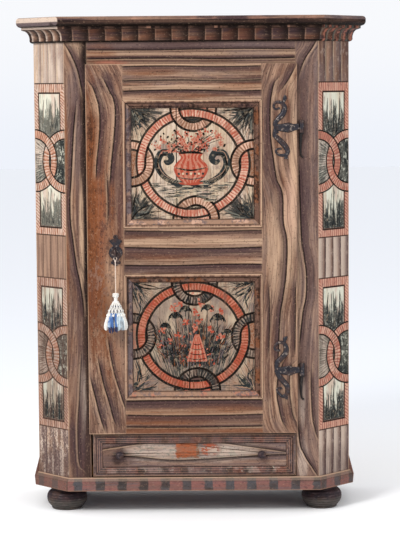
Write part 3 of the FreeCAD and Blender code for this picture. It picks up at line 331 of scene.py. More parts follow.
class Board(Finish):
    """The wood-grained paint of one board, laid on in a maker's order: ground, strokes,
    rubbed places and a few painted shadows, hand-drawn veins, pits and edges."""

    def __init__(self, name, low, high, along="z", across="x", seed=0, bend=None):
        super().__init__(name, along, across)
        place = {"x": 0, "y": 1, "z": 2}
        i, j = place[along], place[across]
        self.set_span(self.along, low[i], high[i], self.across, low[j], high[j])
        if bend:
            self.flow = self.across - self.traced(bend) * (self.width * 0.9)
        self.seed = seed
        self.brush_up()

    def traced(self, route):
        """The share across of a drawn line at each place along the board."""
        return self.node("ShaderNodeFloatCurve", {"route": route}, {"Value": self.share_along})

    def set_span(self, along, start, end, across, left, right):
        self.along, self.across, self.flow = along, across, across
        self.length, self.width = end - start, right - left
        self.share_along = (along - start) * (1 / self.length)
        self.share_across = (across - left) * (1 / self.width)
        self.left, self.right, self.start, self.end = left, right, start, end

    def brush_up(self):
        seed = self.seed
        self.fine = self.noise(170, 8, 60, 3, 0.65, seed)
        self.streak = self.noise(62, 2.8, 25, 3, 0.6, seed + 3)
        self.cloud = self.noise(22, 7, 12, 4, 0.6, seed + 7)
        self.speck = self.noise(210, 120, 200, 3, 0.65, seed + 11)
        self.blot = self.noise(70, 34, 60, 4, 0.7, seed + 13)
        self.wander = (self.noise(5, 3.2, 4, 1, 0.5, seed + 5) - 0.5) * 0.012

    def ground(self, figure, pitch, middle="brown"):
        """Streaky paint under flame-like strokes that darken towards one side."""
        self.colour = self.mix(middle, "tan", self.streak.rise(0.4, 0.62))
        self.coat("ochre", self.cloud.rise(0.5, 0.68) * 0.3)
        self.coat("slate", self.cloud.fall(0.34, 0.5) * 0.35)
        phase = (self.flow + self.wander * 2.2) * (1 / pitch) + self.cloud * 0.5
        stroke = phase.fraction()
        self.coat("dusk", stroke.rise(0.3, 1) * figure * self.streak.rise(0.2, 0.6))
        self.coat("vein", stroke.rise(0.93, 0.985) * figure * 0.7)
        self.coat("straw", self.fine.rise(0.52, 0.7) * 0.45)
        self.coat("vein", self.fine.fall(0.32, 0.48) * 0.5)
        self.groove = stroke.rise(0.93, 0.985) * 0.3

    def vein(self, route, side, fade, force):
        """A dark line along route, points of (share along, share across), that fades over
        that many metres on one side and has a light stroke on the other."""
        first, last = route[0][0], route[-1][0]
        gap = (self.share_across - self.traced(route)) * (self.width * side) + self.wander * 0.35
        ends = self.share_along.between(first, last, 0.02) * force
        dark = gap.rise(-0.0005, 0.0008) & gap.fall(0, fade * 1.25)
        pale = gap.fall(-0.001, 0) & gap.rise(-0.4 * fade - 0.004, -0.002)
        stroke = abs(gap).fall(0.0012, 0.0042)
        echo = abs(gap - fade * 0.42).fall(0.0006, 0.003) | abs(gap + fade * 0.55).fall(0.0004, 0.0026)
        self.coat("straw", pale * ends * (self.streak.rise(0.3, 0.6) * 0.4 + 0.15))
        self.coat("dusk", dark * ends * 0.9)
        self.coat("vein", echo * ends * self.fine.rise(0.3, 0.6) * 0.5)
        self.coat("vein", stroke * ends * self.fine.rise(0.15, 0.4) * 0.97)
        self.groove = self.groove | stroke * ends

    def away(self, along, across, reach_along, reach_across):
        """How far off a place is, along and across, 1 at its reach. All in shares."""
        u, v = self.share_along - along, self.share_across - across
        return u * (1 / reach_along), v * (1 / reach_across)

    def mottles(self, tone, along, across, reach_along, reach_across, force=0.7):
        """Blots scattered over a rubbed place, centred and sized in shares."""
        u, v = self.away(along, across, reach_along, reach_across)
        self.coat(tone, (u ** 2 + v ** 2).fall(0.1, 1.2) * self.blot.rise(0.5, 0.57) * force)

    def patch(self, tone, along, across, reach_along, reach_across, force=0.7):
        """A place of one paint with a ragged edge, centred and sized in shares: rubbed and stained
        places, and a few painted shadows.
        """
        u, v = self.away(along, across, reach_along, reach_across)
        edge = (u ** 2 + v ** 2 + (self.cloud - 0.5) * 1.6 + (self.streak - 0.5) * 1.4).fall(0, 1.6)
        self.coat(tone, edge * (self.fine.rise(0.3, 0.6) * 0.7 + 0.4) * force)

    def rubbed(self, tone, along, across, half_along, half_across):
        """A squarish place with a crisp, slightly ragged edge."""
        u, v = self.away(along, across, half_along, half_across)
        edge = ((abs(u) | abs(v)) + (self.cloud - 0.5) * 0.5 + (self.blot - 0.5) * 0.5).fall(0.9, 1.04)
        self.coat(tone, edge * (self.blot.fall(0.42, 0.6) * 0.4 + 0.55))

    def band(self, tone, low, high, force=0.7, soft=0.02):
        """A stroke that runs the whole board, between two shares across."""
        span = (self.share_across + self.wander * (0.5 / self.width)).between(low, high, soft)
        self.coat(tone, span * force * (self.streak.rise(0.2, 0.6) * 0.5 + 0.5))

    def pits(self, dark=0.6, light=0.2):
        self.coat("vein", self.speck.fall(0.3, 0.42) * dark)
        self.coat("straw", self.speck.rise(0.58, 0.7) * light)

    def bare(self, inside):
        """Plain wood on the faces that no paint reached, where inside is 1."""
        wood = self.mix("pine", "ochre", self.streak.rise(0.4, 0.66) * 0.5)
        wood = self.mix(wood, "brown", self.cloud.rise(0.42, 0.7) * 0.6)
        wood = self.mix(wood, "vein", self.fine.fall(0.28, 0.42) * 0.4)
        self.coat(wood, inside)

    def behind(self, low, high):
        """1 on the back part of a board that faces forwards."""
        thick = high.y - low.y
        return self.y.rise(low.y + thick * 0.6, low.y + thick * 0.68)

    def edges(self, left=0.2, right=0.2, ends=0.2, width=0.004):
        """Paint rubbed off along the arrises, and a pale line there that is also a painted highlight on
        lit edges.
        """
        worn = self.cloud.rise(0.3, 0.6) * 0.6 + 0.4
        near_left = (self.across - self.left).fall(width * 0.3, width) * left
        near_right = (self.right - self.across).fall(width * 0.3, width) * right
        near_ends = (self.along - self.start).fall(width * 0.3, width) | (self.end - self.along).fall(
            width * 0.3, width
        )
        self.coat("straw", (near_left | near_right | near_ends * ends) * worn)

    def seal(self, rough=0.62, relief=0.0007, force=0.55):
        height = (
            self.streak * 0.5 + self.fine * 0.35 + self.speck.rise(0.26, 0.36) * 0.4 - self.groove * 0.6
        )
        return self.done(
            self.fine * 0.22 + self.cloud * 0.12 + (rough - 0.17), height, None, relief, force
        )


def dress(name, material, round_edge=0.0012):
    """Gives a frame node its finish and eases its arrises."""
    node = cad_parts[name]
    if not node.data.materials:
        node.data.materials.append(material)
    for i in range(len(node.material_slots)):
        node.material_slots[i].link = "OBJECT"
        node.material_slots[i].material = material
    if round_edge:
        weld = node.modifiers.new("join", "WELD")
        weld.merge_threshold = 1e-5
        ease = node.modifiers.new("ease", "BEVEL")
        ease.width, ease.segments = round_edge, 2
        ease.limit_method, ease.angle_limit = "ANGLE", radians(40)
        ease.harden_normals = False


# Veins are (side, fade in metres, force, points of the route); patches and mottles are (paint, along,
# across, reach along, reach across, force), bare places the same without force; strokes are (paint,
# from, to, force). Places are shares of the board.
BOARDS = {
    "front_stile_left": dict(
        ground=(0.5, 0.04),
        # The dusk and vein strokes down the right side, beside the door, are partly the stile's own dark
        # paint and partly a painted shadow of the door's proud edge.
        strokes=(("brown", 0, 1, 0.3), ("dusk", 0.46, 1, 0.5), ("vein", 0.68, 0.98, 0.65)),
        bend=(
            (0, 0.5), (0.12, 0.4), (0.3, 0.6), (0.42, 0.7), (0.49, 0.43), (0.552, 0.28), (0.613, 0.18),
            (0.675, 0.25), (0.76, 0.36), (0.86, 0.7), (0.935, 0.4), (1, 0.1)
        ),
        veins=(
            (1, 0.03, 1, (0.86, 0.8), (0.867, 0.78), (0.905, 0.63), (0.935, 0.39), (0.964, 0.04)),
            (
                -1, 0.022, 1, (0.39, 0.74), (0.404, 0.72), (0.453, 0.58), (0.49, 0.43), (0.552, 0.28),
                (0.613, 0.18), (0.675, 0.25), (0.76, 0.36), (0.83, 0.5)
            ),
            (1, 0.02, 0.7, (0.05, 0.55), (0.12, 0.4), (0.2, 0.5), (0.3, 0.62)),
        ),
        patches=(
            ("ochre", 0.72, 0.04, 0.12, 0.12, 0.8), ("ochre", 0.5, 0.05, 0.1, 0.1, 0.6),
            ("straw", 0.56, 0.68, 0.12, 0.12, 0.75), ("bone", 0.2, 0.66, 0.09, 0.16, 0.5),
            ("dusk", 0.1, 0.4, 0.1, 0.5, 0.9), ("straw", 0.97, 0.45, 0.04, 0.4, 0.4),
            # The vein patch at (0.62, 0.95) darkens that strip further: painted shadow of the door.
            ("vein", 0.62, 0.95, 0.5, 0.16, 1), ("vein", 0.9, 0.92, 0.12, 0.16, 0.8),
            ("slate", 0.8, 0.4, 0.16, 0.3, 0.45)
        ),
    ),
    "front_stile_right": dict(
        ground=(0.45, 0.038),
        strokes=(("slate", 0, 1, 0.35),),
        bend=(
            (0, 0.9), (0.06, 0.5), (0.12, 0.2), (0.3, 0.16), (0.387, 0.3), (0.45, 0.47), (0.499, 0.39),
            (0.553, 0.24), (0.7, 0.14), (0.9, 0.2), (0.958, 0.7), (1, 0.9)
        ),
        veins=(
            (-1, 0.03, 1, (0.9, 0.2), (0.918, 0.32), (0.958, 0.82), (0.97, 0.95)),
            (
                1, 0.024, 1, (0.32, 0.16), (0.337, 0.19), (0.387, 0.3), (0.45, 0.47), (0.499, 0.39),
                (0.553, 0.24), (0.615, 0.19), (0.7, 0.14)
            ),
            (1, 0.02, 1, (0.03, 0.95), (0.049, 0.7), (0.076, 0.36), (0.109, 0.13), (0.144, 0.08)),
            (1, 0.018, 0.8, (0.11, 0.98), (0.133, 0.82), (0.17, 0.7), (0.25, 0.66)),
        ),
        patches=(
            ("slate", 0.86, 0.92, 0.14, 0.13, 0.5), ("bone", 0.2, 0.25, 0.06, 0.16, 0.6),
            ("bone", 0.06, 0.3, 0.05, 0.22, 0.6), ("dusk", 0.7, 0.35, 0.2, 0.3, 0.6),
            ("dusk", 0.25, 0.3, 0.1, 0.3, 0.5), ("straw", 0.48, 0.12, 0.12, 0.1, 0.6)
        ),
    ),
    "door_stile_lock": dict(
        # The paler left edge and ends: worn paint, and a painted highlight on the door's lit left edge
        # and top.
        edges=(0.5, 0.1, 0.6), pits=(0.85, 0.28), ground=(0.3, 0.045),
        bend=(
            (0, 0.5), (0.08, 0.4), (0.2, 0.3), (0.5, 0.4), (0.62, 0.42), (0.747, 0.45), (0.846, 0.55),
            (0.916, 0.4), (1, 0.05)
        ),
        mottles=(
            ("vein", 0.55, 0.3, 0.34, 0.5, 0.3), ("dusk", 0.45, 0.6, 0.3, 0.4, 0.35),
            ("peach", 0.42, 0.3, 0.06, 0.4, 0.2), ("straw", 0.2, 0.4, 0.2, 0.5, 0.2),
            ("vein", 0.8, 0.1, 0.12, 0.12, 0.5)
        ),
        veins=(
            (
                1, 0.034, 1, (0.7, 0.27), (0.747, 0.3), (0.798, 0.36), (0.846, 0.39), (0.873, 0.38),
                (0.916, 0.29), (0.954, 0.09)
            ),
            (
                1, 0.03, 1, (0.68, 0.64), (0.728, 0.68), (0.798, 0.76), (0.865, 0.81), (0.889, 0.8),
                (0.926, 0.67), (0.961, 0.49)
            ),
            (1, 0.012, 0.8, (0.58, 0.56), (0.62, 0.58), (0.7, 0.56)),
            (1, 0.03, 1, (0.013, 0.41), (0.055, 0.29), (0.099, 0.18), (0.151, 0.05)),
            (1, 0.025, 1, (0.03, 0.72), (0.046, 0.66), (0.082, 0.57), (0.14, 0.4), (0.203, 0.27)),
            (1, 0.02, 0.9, (0.07, 1), (0.098, 0.91), (0.202, 0.63), (0.26, 0.55)),
        ),
        patches=(
            ("ochre", 0.55, 0.35, 0.34, 0.6, 0.75), ("vein", 0.62, 0.1, 0.3, 0.16, 0.55),
            ("tan", 0.52, 0.45, 0.1, 0.3, 0.3), ("vein", 0.36, 0.1, 0.14, 0.14, 0.6),
            ("copper", 0.6, 0.3, 0.22, 0.2, 0.35), ("ochre", 0.6, 0.15, 0.34, 0.26, 0.85),
            ("ochre", 0.8, 0.1, 0.16, 0.2, 0.7), ("dusk", 0.955, 0.62, 0.03, 0.25, 0.7),
            # The dusk patch at (0.34, 0.2) is a painted shadow of the tassel, and the vein patch at
            # (0.835, 0.12) is painted shade.
            ("dusk", 0.34, 0.2, 0.1, 0.2, 0.8), ("vein", 0.835, 0.12, 0.05, 0.07, 0.55),
            ("dusk", 0.64, 0.88, 0.12, 0.12, 0.6), ("straw", 0.4, 0.72, 0.1, 0.26, 0.55),
            ("straw", 0.9, 0.3, 0.04, 0.2, 0.5), ("ochre", 0.33, 0.3, 0.12, 0.4, 0.8),
            ("ochre", 0.2, 0.6, 0.1, 0.3, 0.5)
        ),
    ),
    "door_stile_hinge": dict(
        ground=(0.5, 0.04),
        bend=(
            (0, 0.75), (0.12, 0.45), (0.2, 0.44), (0.314, 0.49), (0.376, 0.59), (0.517, 0.7),
            (0.641, 0.59), (0.744, 0.33), (0.88, 0.24), (0.957, 0.43), (1, 0.6)
        ),
        veins=(
            (
                -1, 0.03, 1, (0.2, 0.44), (0.251, 0.46), (0.314, 0.49), (0.376, 0.59), (0.444, 0.68),
                (0.517, 0.7), (0.579, 0.6), (0.641, 0.59), (0.69, 0.42), (0.744, 0.33), (0.811, 0.25),
                (0.88, 0.24), (0.923, 0.29), (0.957, 0.43)
            ),
            (-1, 0.04, 0.9, (0.931, 0.57), (0.96, 0.78), (0.992, 0.96)),
            (-1, 0.018, 0.9, (0.22, 0.92), (0.3, 0.93), (0.409, 0.94)),
            (-1, 0.014, 0.8, (0.221, 0.17), (0.347, 0.2), (0.4, 0.18)),
            (1, 0.03, 0.9, (0.02, 0.62), (0.07, 0.46), (0.12, 0.4), (0.17, 0.5), (0.2, 0.62)),
            (-1, 0.02, 0.8, (0.03, 0.96), (0.08, 0.8), (0.14, 0.76), (0.19, 0.86)),
        ),
        patches=(
            ("dusk", 0.8, 0.12, 0.16, 0.09, 0.6), ("straw", 0.7, 0.9, 0.2, 0.12, 0.7),
            ("straw", 0.93, 0.85, 0.05, 0.1, 0.5), ("ochre", 0.6, 0.62, 0.12, 0.14, 0.35),
            ("straw", 0.12, 0.66, 0.05, 0.2, 0.6), ("straw", 0.5, 0.5, 0.14, 0.4, 0.6),
            ("peach", 0.62, 0.8, 0.1, 0.2, 0.4)
        ),
    ),
    "frieze_rail": dict(
        along="x", edges=(0.1, 0.1, 0.1), ground=(0.15, 0.03),
        strokes=(
            ("brown", 0, 1, 0.7), ("dusk", 0, 1, 0.3), ("slate", 0.42, 0.7, 0.5),
            ("straw", 0.26, 0.34, 0.5), ("straw", 0.05, 0.09, 0.4)
        ),
        veins=(
            (1, 0.014, 0.9, (0, 0.41), (0.3, 0.4), (0.6, 0.42), (1, 0.4)),
            (1, 0.012, 1, (0, 0.18), (0.35, 0.19), (0.7, 0.17), (1, 0.18)),
            (1, 0.004, 0.7, (0, 0.02), (0.5, 0.03), (1, 0.02)),
        ),
        patches=(
            ("ochre", 0.06, 0.3, 0.08, 0.3, 0.6), ("slate", 0.8, 0.3, 0.12, 0.3, 0.4),
            ("salmon", 0.12, 0.08, 0.08, 0.06, 0.9), ("dusk", 0.45, 0.5, 0.2, 0.1, 0.5)
        ),
    ),
    "door_rail_top": dict(
        # The paler upper edge: worn paint, and a painted highlight on the door's lit top arris.
        along="x", edges=(0.1, 0.4, 0.1), ground=(0.15, 0.03),
        strokes=(("straw", 0.32, 0.41, 0.5), ("straw", 0.02, 0.09, 0.3), ("straw", 0.68, 0.78, 0.25)),
        veins=(
            (-1, 0.022, 0.9, (0, 0.93), (0.3, 0.94), (0.62, 0.92), (1, 0.93)),
            (1, 0.014, 1, (0, 0.54), (0.4, 0.56), (0.75, 0.53), (1, 0.55)),
            (-1, 0.012, 0.7, (0, 0.53), (0.4, 0.55), (0.75, 0.52), (1, 0.54)),
            (-1, 0.018, 1, (0, 0.24), (0.4, 0.27), (0.8, 0.24), (1, 0.25)),
        ),
        patches=(
            ("ochre", 0.2, 0.8, 0.2, 0.12, 0.6), ("ochre", 0.85, 0.35, 0.2, 0.15, 0.5),
            ("ochre", 0.4, 0.12, 0.3, 0.1, 0.5)
        ),
    ),
    "door_rail_middle": dict(
        along="x", ground=(0.15, 0.03),
        strokes=(("straw", 0.64, 0.76, 0.6), ("dusk", 0.05, 0.2, 0.5), ("straw", 0.24, 0.32, 0.3)),
        veins=(
            (-1, 0.02, 0.9, (0, 0.93), (0.5, 0.915), (1, 0.93)),
            (-1, 0.04, 1, (0, 0.58), (0.3, 0.56), (0.7, 0.55), (1, 0.57)),
            (-1, 0.026, 1, (0, 0.2), (0.4, 0.19), (0.8, 0.21), (1, 0.2)),
        ),
        patches=(("ochre", 0.3, 0.45, 0.25, 0.16, 0.5), ("ochre", 0.75, 0.3, 0.2, 0.12, 0.4)),
    ),
    "door_rail_bottom": dict(
        along="x", ground=(0.15, 0.028),
        strokes=(
            ("brown", 0, 1, 0.4), ("dusk", 0.74, 0.93, 0.6), ("straw", 0.6, 0.69, 0.4),
            ("straw", 0.24, 0.28, 0.4), ("ochre", 0.02, 0.14, 0.6)
        ),
        veins=(
            (-1, 0.03, 1, (0, 0.95), (0.5, 0.97), (1, 0.96)),
            (-1, 0.03, 0.9, (0, 0.55), (0.4, 0.53), (1, 0.54)),
            (1, 0.012, 0.9, (0, 0.2), (0.5, 0.18), (1, 0.21))
        ),
        patches=(
            ("ochre", 0.3, 0.4, 0.4, 0.3, 0.8), ("brown", 0.7, 0.4, 0.25, 0.3, 0.5),
            ("ochre", 0.7, 0.7, 0.3, 0.2, 0.6)
        ),
    ),
    "drawer_front": dict(
        along="x", ground=(0.15, 0.03, "slate"),
        strokes=(("slate", 0.1, 0.9, 0.3), ("dusk", 0.74, 0.9, 0.5), ("dusk", 0.1, 0.24, 0.5)),
        veins=(
            (
                1, 0.014, 0.8, (0.02, 0.62), (0.1, 0.68), (0.25, 0.77), (0.4, 0.8), (0.6, 0.79),
                (0.75, 0.7), (0.97, 0.55)
            ),
            (
                -1, 0.012, 0.85, (0.1, 0.5), (0.22, 0.46), (0.4, 0.38), (0.55, 0.4), (0.8, 0.47),
                (0.97, 0.5)
            ),
        ),
        patches=(
            ("bone", 0.3, 0.58, 0.16, 0.2, 0.6), ("bone", 0.68, 0.6, 0.16, 0.18, 0.65),
            ("bone", 0.5, 0.4, 0.3, 0.08, 0.5), ("brown", 0.1, 0.4, 0.1, 0.3, 0.7),
            ("dusk", 0.13, 0.5, 0.035, 0.2, 0.9), ("vein", 0.115, 0.38, 0.02, 0.1, 0.7),
            ("dusk", 0.84, 0.42, 0.03, 0.16, 0.7)
        ),
        mottles=(
            ("chalk", 0.45, 0.55, 0.36, 0.22, 0.5), ("vein", 0.4, 0.55, 0.4, 0.3, 0.5),
            ("copper", 0.57, 0.63, 0.05, 0.17, 1), ("red", 0.58, 0.62, 0.06, 0.2, 0.5)
        ),
        bare=(("ochre", 0.468, 0.605, 0.056, 0.19), ("copper", 0.46, 0.61, 0.052, 0.17)),
    ),
}


def paint_boards():
    """The front's stiles and rails, each with its own listed veins."""
    for number, (name, plan) in enumerate(BOARDS.items()):
        along, (low, high) = plan.get("along", "z"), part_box(name)
        board = Board(
            f"{name}_paint", low, high, along, "x" if along == "z" else "z", number * 4.3,
            plan.get("bend")
        )
        board.ground(*plan["ground"])
        for tone, start, end, force in plan.get("strokes", ()):
            board.band(tone, start, end, force)
        for tone, *where in plan.get("patches", ()):
            board.patch(tone, *where)
        for tone, *where in plan.get("mottles", ()):
            board.mottles(tone, *where)
        for side, fade, force, *route in plan.get("veins", ()):
            board.vein(route, side, fade, force)
        for tone, *where in plan.get("bare", ()):
            board.rubbed(tone, *where)
        board.pits(*plan.get("pits", (0.6, 0.2)))
        board.edges(*plan.get("edges", (0.15, 0.15, 0.15)))
        board.bare(board.behind(low, high))
        dress(name, board.seal())


def paint_sides():
    """The flat sides, grained more broadly, and the bare boards behind and inside."""
    for name in ("side_left", "side_right"):
        low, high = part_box(name)
        board = Board(f"{name}_paint", low, high, "z", "y", 31 if "left" in name else 47)
        board.ground(0.7, 0.052)
        board.patch("ochre", 0.7, 0.1, 0.2, 0.2, 0.5)
        board.patch("dusk", 0.05, 0.5, 0.08, 0.7, 0.5)
        board.pits()
        board.edges()
        inside, behind = abs(board.x).fall(0.566, 0.569), board.y.rise(0.2755, 0.2765)
        board.bare(inside | behind)
        dress(name, board.seal())
    bare = {
        "back_boards": ("z", "x"), "cabinet_floor": ("x", "y"), "case_bottom": ("x", "y"),
        "shelf_lower": ("x", "y"), "shelf_upper": ("x", "y"), "shelf_battens": ("y", "z"),
        "corner_blocks": ("z", "x"), "drawer_guides": ("y", "x"), "drawer_side_left": ("y", "z"),
        "drawer_side_right": ("y", "z"), "drawer_back": ("x", "z"), "drawer_bottom": ("x", "y")
    }
    for number, (name, (along, across)) in enumerate(bare.items()):
        wood = Finish(f"{name}_wood", along, across)
        fine = wood.noise(240, 7, 60, 3, 0.6, number * 3.1)
        broad = wood.noise(26, 1.2, 14, 3, 0.5, number * 5.3)
        rings = (broad * 6 + wood.across * 9).fraction()
        stain = wood.noise(5, 4, 5, 3, 0.6, number + 2)
        wood.colour = wood.mix("pine", "ochre", rings.rise(0.5, 1) * 0.5)
        wood.coat("brown", stain.rise(0.45, 0.75) * 0.6)
        if name == "back_boards":
            wood.coat("soot", abs(abs(wood.x) - 0.1935).fall(0.0012, 0.004) * 0.8)
            wood.coat("slate", broad.rise(0.5, 0.62) * 0.35)
        # Painted shade: the case's bottom and the corner blocks are darkened to stand for the deep shade
        # under the case.
        if name in ("case_bottom", "corner_blocks"):
            wood.coat("vein", 0.75)
        wood.coat("vein", fine.fall(0.28, 0.42) * 0.4)
        dress(name, wood.done(fine * 0.2 + 0.62, fine + rings * 0.5), 0.0008)


# ------------------------------------------------------------------ painted ornament


def root(a, b):
    """How far a and b reach together, as the two legs of a square corner."""
    return (a * a + b * b) ** 0.5


def banding(finish, colour, off, run, pitch, tones, sizes, mask):
    """A band of hatched paint between two dark lines, where off is metres from its middle
    and run is metres along it. tones are its light, middle, dark and line paints, and sizes its
    half width and the width of a line."""
    light, middle, dark, line = tones
    half, outline = sizes
    away = abs(off + (finish.cloud - 0.5) * 0.004)
    hatch = finish.cells(run * (0.6 / pitch), off * 30, 3.3, 2, 0.5)
    stripe = (run * (1 / pitch) + hatch * 1.6).fraction()
    drift = finish.noise(17, 17, 17, 3, 0.6, 17)
    inner = finish.mix(middle, light, stripe.between(0.55, 0.95, 0.1) * hatch.rise(0.3, 0.5))
    inner = finish.mix(inner, middle, drift.rise(0.5, 0.58) * 0.8)
    inner = finish.mix(inner, light, drift.fall(0.38, 0.46) * 0.8)
    inner = finish.mix(inner, dark, stripe.between(0, 0.34, 0.12) * hatch.rise(0.25, 0.5) * 0.75)
    inner = finish.mix(inner, "brown", finish.streak.fall(0.4, 0.52) * 0.35)
    inner = finish.mix(inner, "vein", finish.speck.fall(0.32, 0.44) * 0.4)
    banded = finish.mix(colour, inner, away.fall(half - 0.0006, half + 0.0006) * mask)
    edge = away.between(half, half + outline, 0.0008)
    return finish.mix(banded, line, edge * mask * 0.96)


def painted_panel(name, field, centre, tones, arc_tones, seed, joint):
    """A cream field with a large ring and four arcs that pass over and under it."""
    sizes = bpy.context.scene.ornament_sizes
    low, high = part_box(name)
    panel = Board(f"{name}_paint", low, high, "z", "x", seed)
    left, right, bottom, top = field
    panel.colour = panel.mix(*tones["ground"], panel.cloud.rise(0.4, 0.65) * 0.7)
    panel.coat("tan", panel.streak.fall(0.4, 0.55) * 0.5)
    panel.coat("brown", panel.fine.fall(0.34, 0.48) * 0.6)
    dirt = panel.noise(16, 16, 16, 4, 0.65, 29)
    panel.coat("slate", dirt.rise(0.5, 0.66) * 0.55)
    panel.groove = panel.fine.fall(0.3, 0.4) * 0.2
    x, z = panel.x - centre[0], panel.z - centre[1]
    left_swell, right_swell = tones["swell"]
    x = x * ((x > 0) * (right_swell - left_swell) + left_swell)
    reach = root(x, z)
    big = reach - sizes.ring_radius
    span = sizes.band + sizes.outline
    turn = z.maths("ARCTAN2", z, x)
    band = (sizes.band, sizes.outline)
    # Corner foliage: dark brush marks that thin out from each corner
    cx, cz = (right - left) / 2, (top - bottom) / 2
    mx, mz = (left + right) / 2, (bottom + top) / 2
    from_x, from_z = cx - abs(panel.x - mx), cz - abs(panel.z - mz)
    corner = root(from_x, from_z)
    fan = from_z.maths("ARCTAN2", from_z, from_x)
    spread = panel.cells(fan * 9, corner * 14, panel.x * 3 + panel.z * 5)
    blades = panel.cells(fan * 26, corner * 22, panel.x * 2)
    outside = big.rise(span - 0.001, span + 0.001)
    dark = (spread * 0.6 + dirt * 0.4 + corner * -2.6 + tones["corner"]).rise(0.44, 0.54)
    panel.coat("tan", dirt.fall(0.36, 0.5) * outside * 0.5)
    panel.coat("ochre", blades.rise(0.56, 0.64) * outside * 0.5)
    panel.coat("leaf", blades.fall(0.38, 0.46) * outside * 0.75)
    panel.coat("leaf", dark * outside * 0.9)
    panel.coat("soot", dark * outside * blades.fall(0.42, 0.5) * 0.8)
    # Thin strokes that fan out from below the ring
    sweep = panel.cells(x.maths("ARCTAN2", x, z + 0.42) * 90, root(x, z + 0.42) * 16, 0, 4, 0.65)
    within = ~outside
    height = z * -2 + tones["sweep"]
    panel.coat("moss", (sweep + height * 0.4).rise(0.52, 0.6) * within * 0.6)
    panel.coat("leaf", (sweep + height * 0.5).rise(0.6, 0.66) * within * 0.8)
    arcs = (
        (mx + 0.004, top, -x, "top"), (right, centre[1], z, "right"), (mx + 0.012, bottom, x, "bottom"),
        (left, centre[1], -z, "left")
    )
    enclosed = big.fall(-span - 0.001, -span + 0.001)
    mottle = panel.speck.rise(0.42, 0.6)
    rings = []
    for at_x, at_z, way, lens in arcs:
        ax, az = panel.x - at_x, panel.z - at_z
        off = root(ax, az) - sizes.arc_radius
        run = az.maths("ARCTAN2", az, ax) * sizes.arc_radius
        rings.append((off, run, way > 0))
        inside = off.fall(-span - 0.001, -span + 0.001)
        near, near_dark, beyond, beyond_dark = tones["lenses"][lens]
        panel.coat(panel.mix(near, near_dark, mottle), inside & enclosed)
        panel.coat(panel.mix(beyond, beyond_dark, mottle), inside & outside)
        panel.colour = banding(panel, panel.colour, off, run, 0.0105, arc_tones, band, 1)
    panel.colour = banding(
        panel, panel.colour, big, turn * sizes.ring_radius, 0.0104, tones["ring"], band, 1
    )
    for off, run, first in rings:
        panel.colour = banding(panel, panel.colour, off, run, 0.0105, arc_tones, band, first)
    worn = (panel.cloud + panel.fine * 0.6).rise(0.98, 1.12)
    panel.coat("cream", worn * 0.25)
    panel.coat("brown", panel.streak.fall(0.26, 0.4) * 0.55)
    panel.pits(0.5, 0.3)
    crack = abs(panel.x - joint + panel.wander * 0.1).fall(0.001, 0.0026)
    panel.coat("soot", crack * 0.95)
    panel.bare(panel.behind(low, high))
    dress(name, panel.seal(0.58, 0.0005), 0.0006)


class Brushwork:
    """Strokes of thick paint laid on one flat face, and gathered into one piece. Places are
    metres from origin along right and up."""

    def __init__(self, origin, right, up, out):
        self.origin, self.right, self.up, self.out = map(Vector, (origin, right, up, out))
        self.shape = Shape()
        self.count = 0

    def laid(self):
        """Each stroke lies a hair above the one before, so that no two share a face."""
        self.count += 1
        return self.count % 60 * 3e-6

    def spot(self, u, v, lift):
        return self.origin + self.right * u + self.up * v + self.out * lift

    def stroke(self, points, width, tone=0, tip=0.25, lift=0.0005, taper=False, steps=3):
        """A closed ribbon that follows points and thins at its ends."""
        path = flowing(points, steps)
        lift += self.laid()
        rings = []
        for k, (u, v) in enumerate(path):
            before, after = path[max(k - 1, 0)], path[min(k + 1, len(path) - 1)]
            du, dv = after[0] - before[0], after[1] - before[1]
            size = hypot(du, dv) or 1
            share = k / (len(path) - 1)
            swell = (1 - share) ** 0.7 if taper else sin(pi * share) ** 0.6
            half = 0.5 * width * (tip + (1 - tip) * swell)
            nu, nv = -dv / size * half, du / size * half
            rings.append(
                [
                    self.spot(u + nu, v + nv, 0), self.spot(u - nu, v - nv, 0),
                    self.spot(u - nu, v - nv, lift), self.spot(u + nu, v + nv, lift)
                ]
            )
        self.shape.skin(rings, tone)

    def dab(self, u, v, radius, tone=0, lift=0.0006, squash=1, lean=0, sides=9):
        """A closed round or oval dab."""
        lift += self.laid()
        rim = []
        for a in around(sides):
            p, q = radius * cos(a), radius * squash * sin(a)
            rim.append((u + p * cos(lean) - q * sin(lean), v + p * sin(lean) + q * cos(lean)))
        self.shape.skin([[self.spot(a, b, h) for a, b in rim] for h in (0, lift)], tone)

    def lay(self, name, body, slot, tones, seed):
        paints = [brush_paint(f"{name}_{tone}", tone, seed) for tone in tones]
        self.shape.build(name, body, paints, slot, smooth=False)


def brush_paint(name, tone, seed):
    """Brushed paint, thin in places so that the ground shows."""
    f = Finish(name)
    cloud = f.noise(60, 60, 60, 3, 0.6, seed)
    fine = f.noise(420, 420, 420, 2, 0.6, seed + 5)
    f.colour = f.mix(tone, "cream", cloud.rise(0.5, 0.72) * 0.4)
    f.coat("vein", fine.fall(0.3, 0.42) * 0.4)
    return f.done(fine * 0.2 + 0.5, fine, None, 0.0002)


def flowing(points, steps):
    """A smooth run through given points."""
    if len(points) < 3 or steps < 2:
        return [tuple(p) for p in points]
    ends = [points[0], *points, points[-1]]
    run = []
    for a, b, c, d in zip(ends, ends[1:], ends[2:], ends[3:]):
        for k in range(steps):
            t = k / steps
            run.append(
                tuple(
                    0.5 * (
                        2 * q + (r - p) * t + (2 * p - 5 * q + 4 * r - s) * t * t
                        + (3 * q - p - 3 * r + s) * t ** 3
                    ) for p, q, r, s in zip(a, b, c, d)
                )
            )
    run.append(tuple(points[-1]))
    return run


def facing(axis, a, b, along):
    """A corner of a form that is turned about the z or the y axis."""
    return Vector((a, b, along) if axis == "z" else (a, along, b))


def around(sides):
    """Angles evenly round a circle."""
    return [2 * pi * k / sides for k in range(sides)]


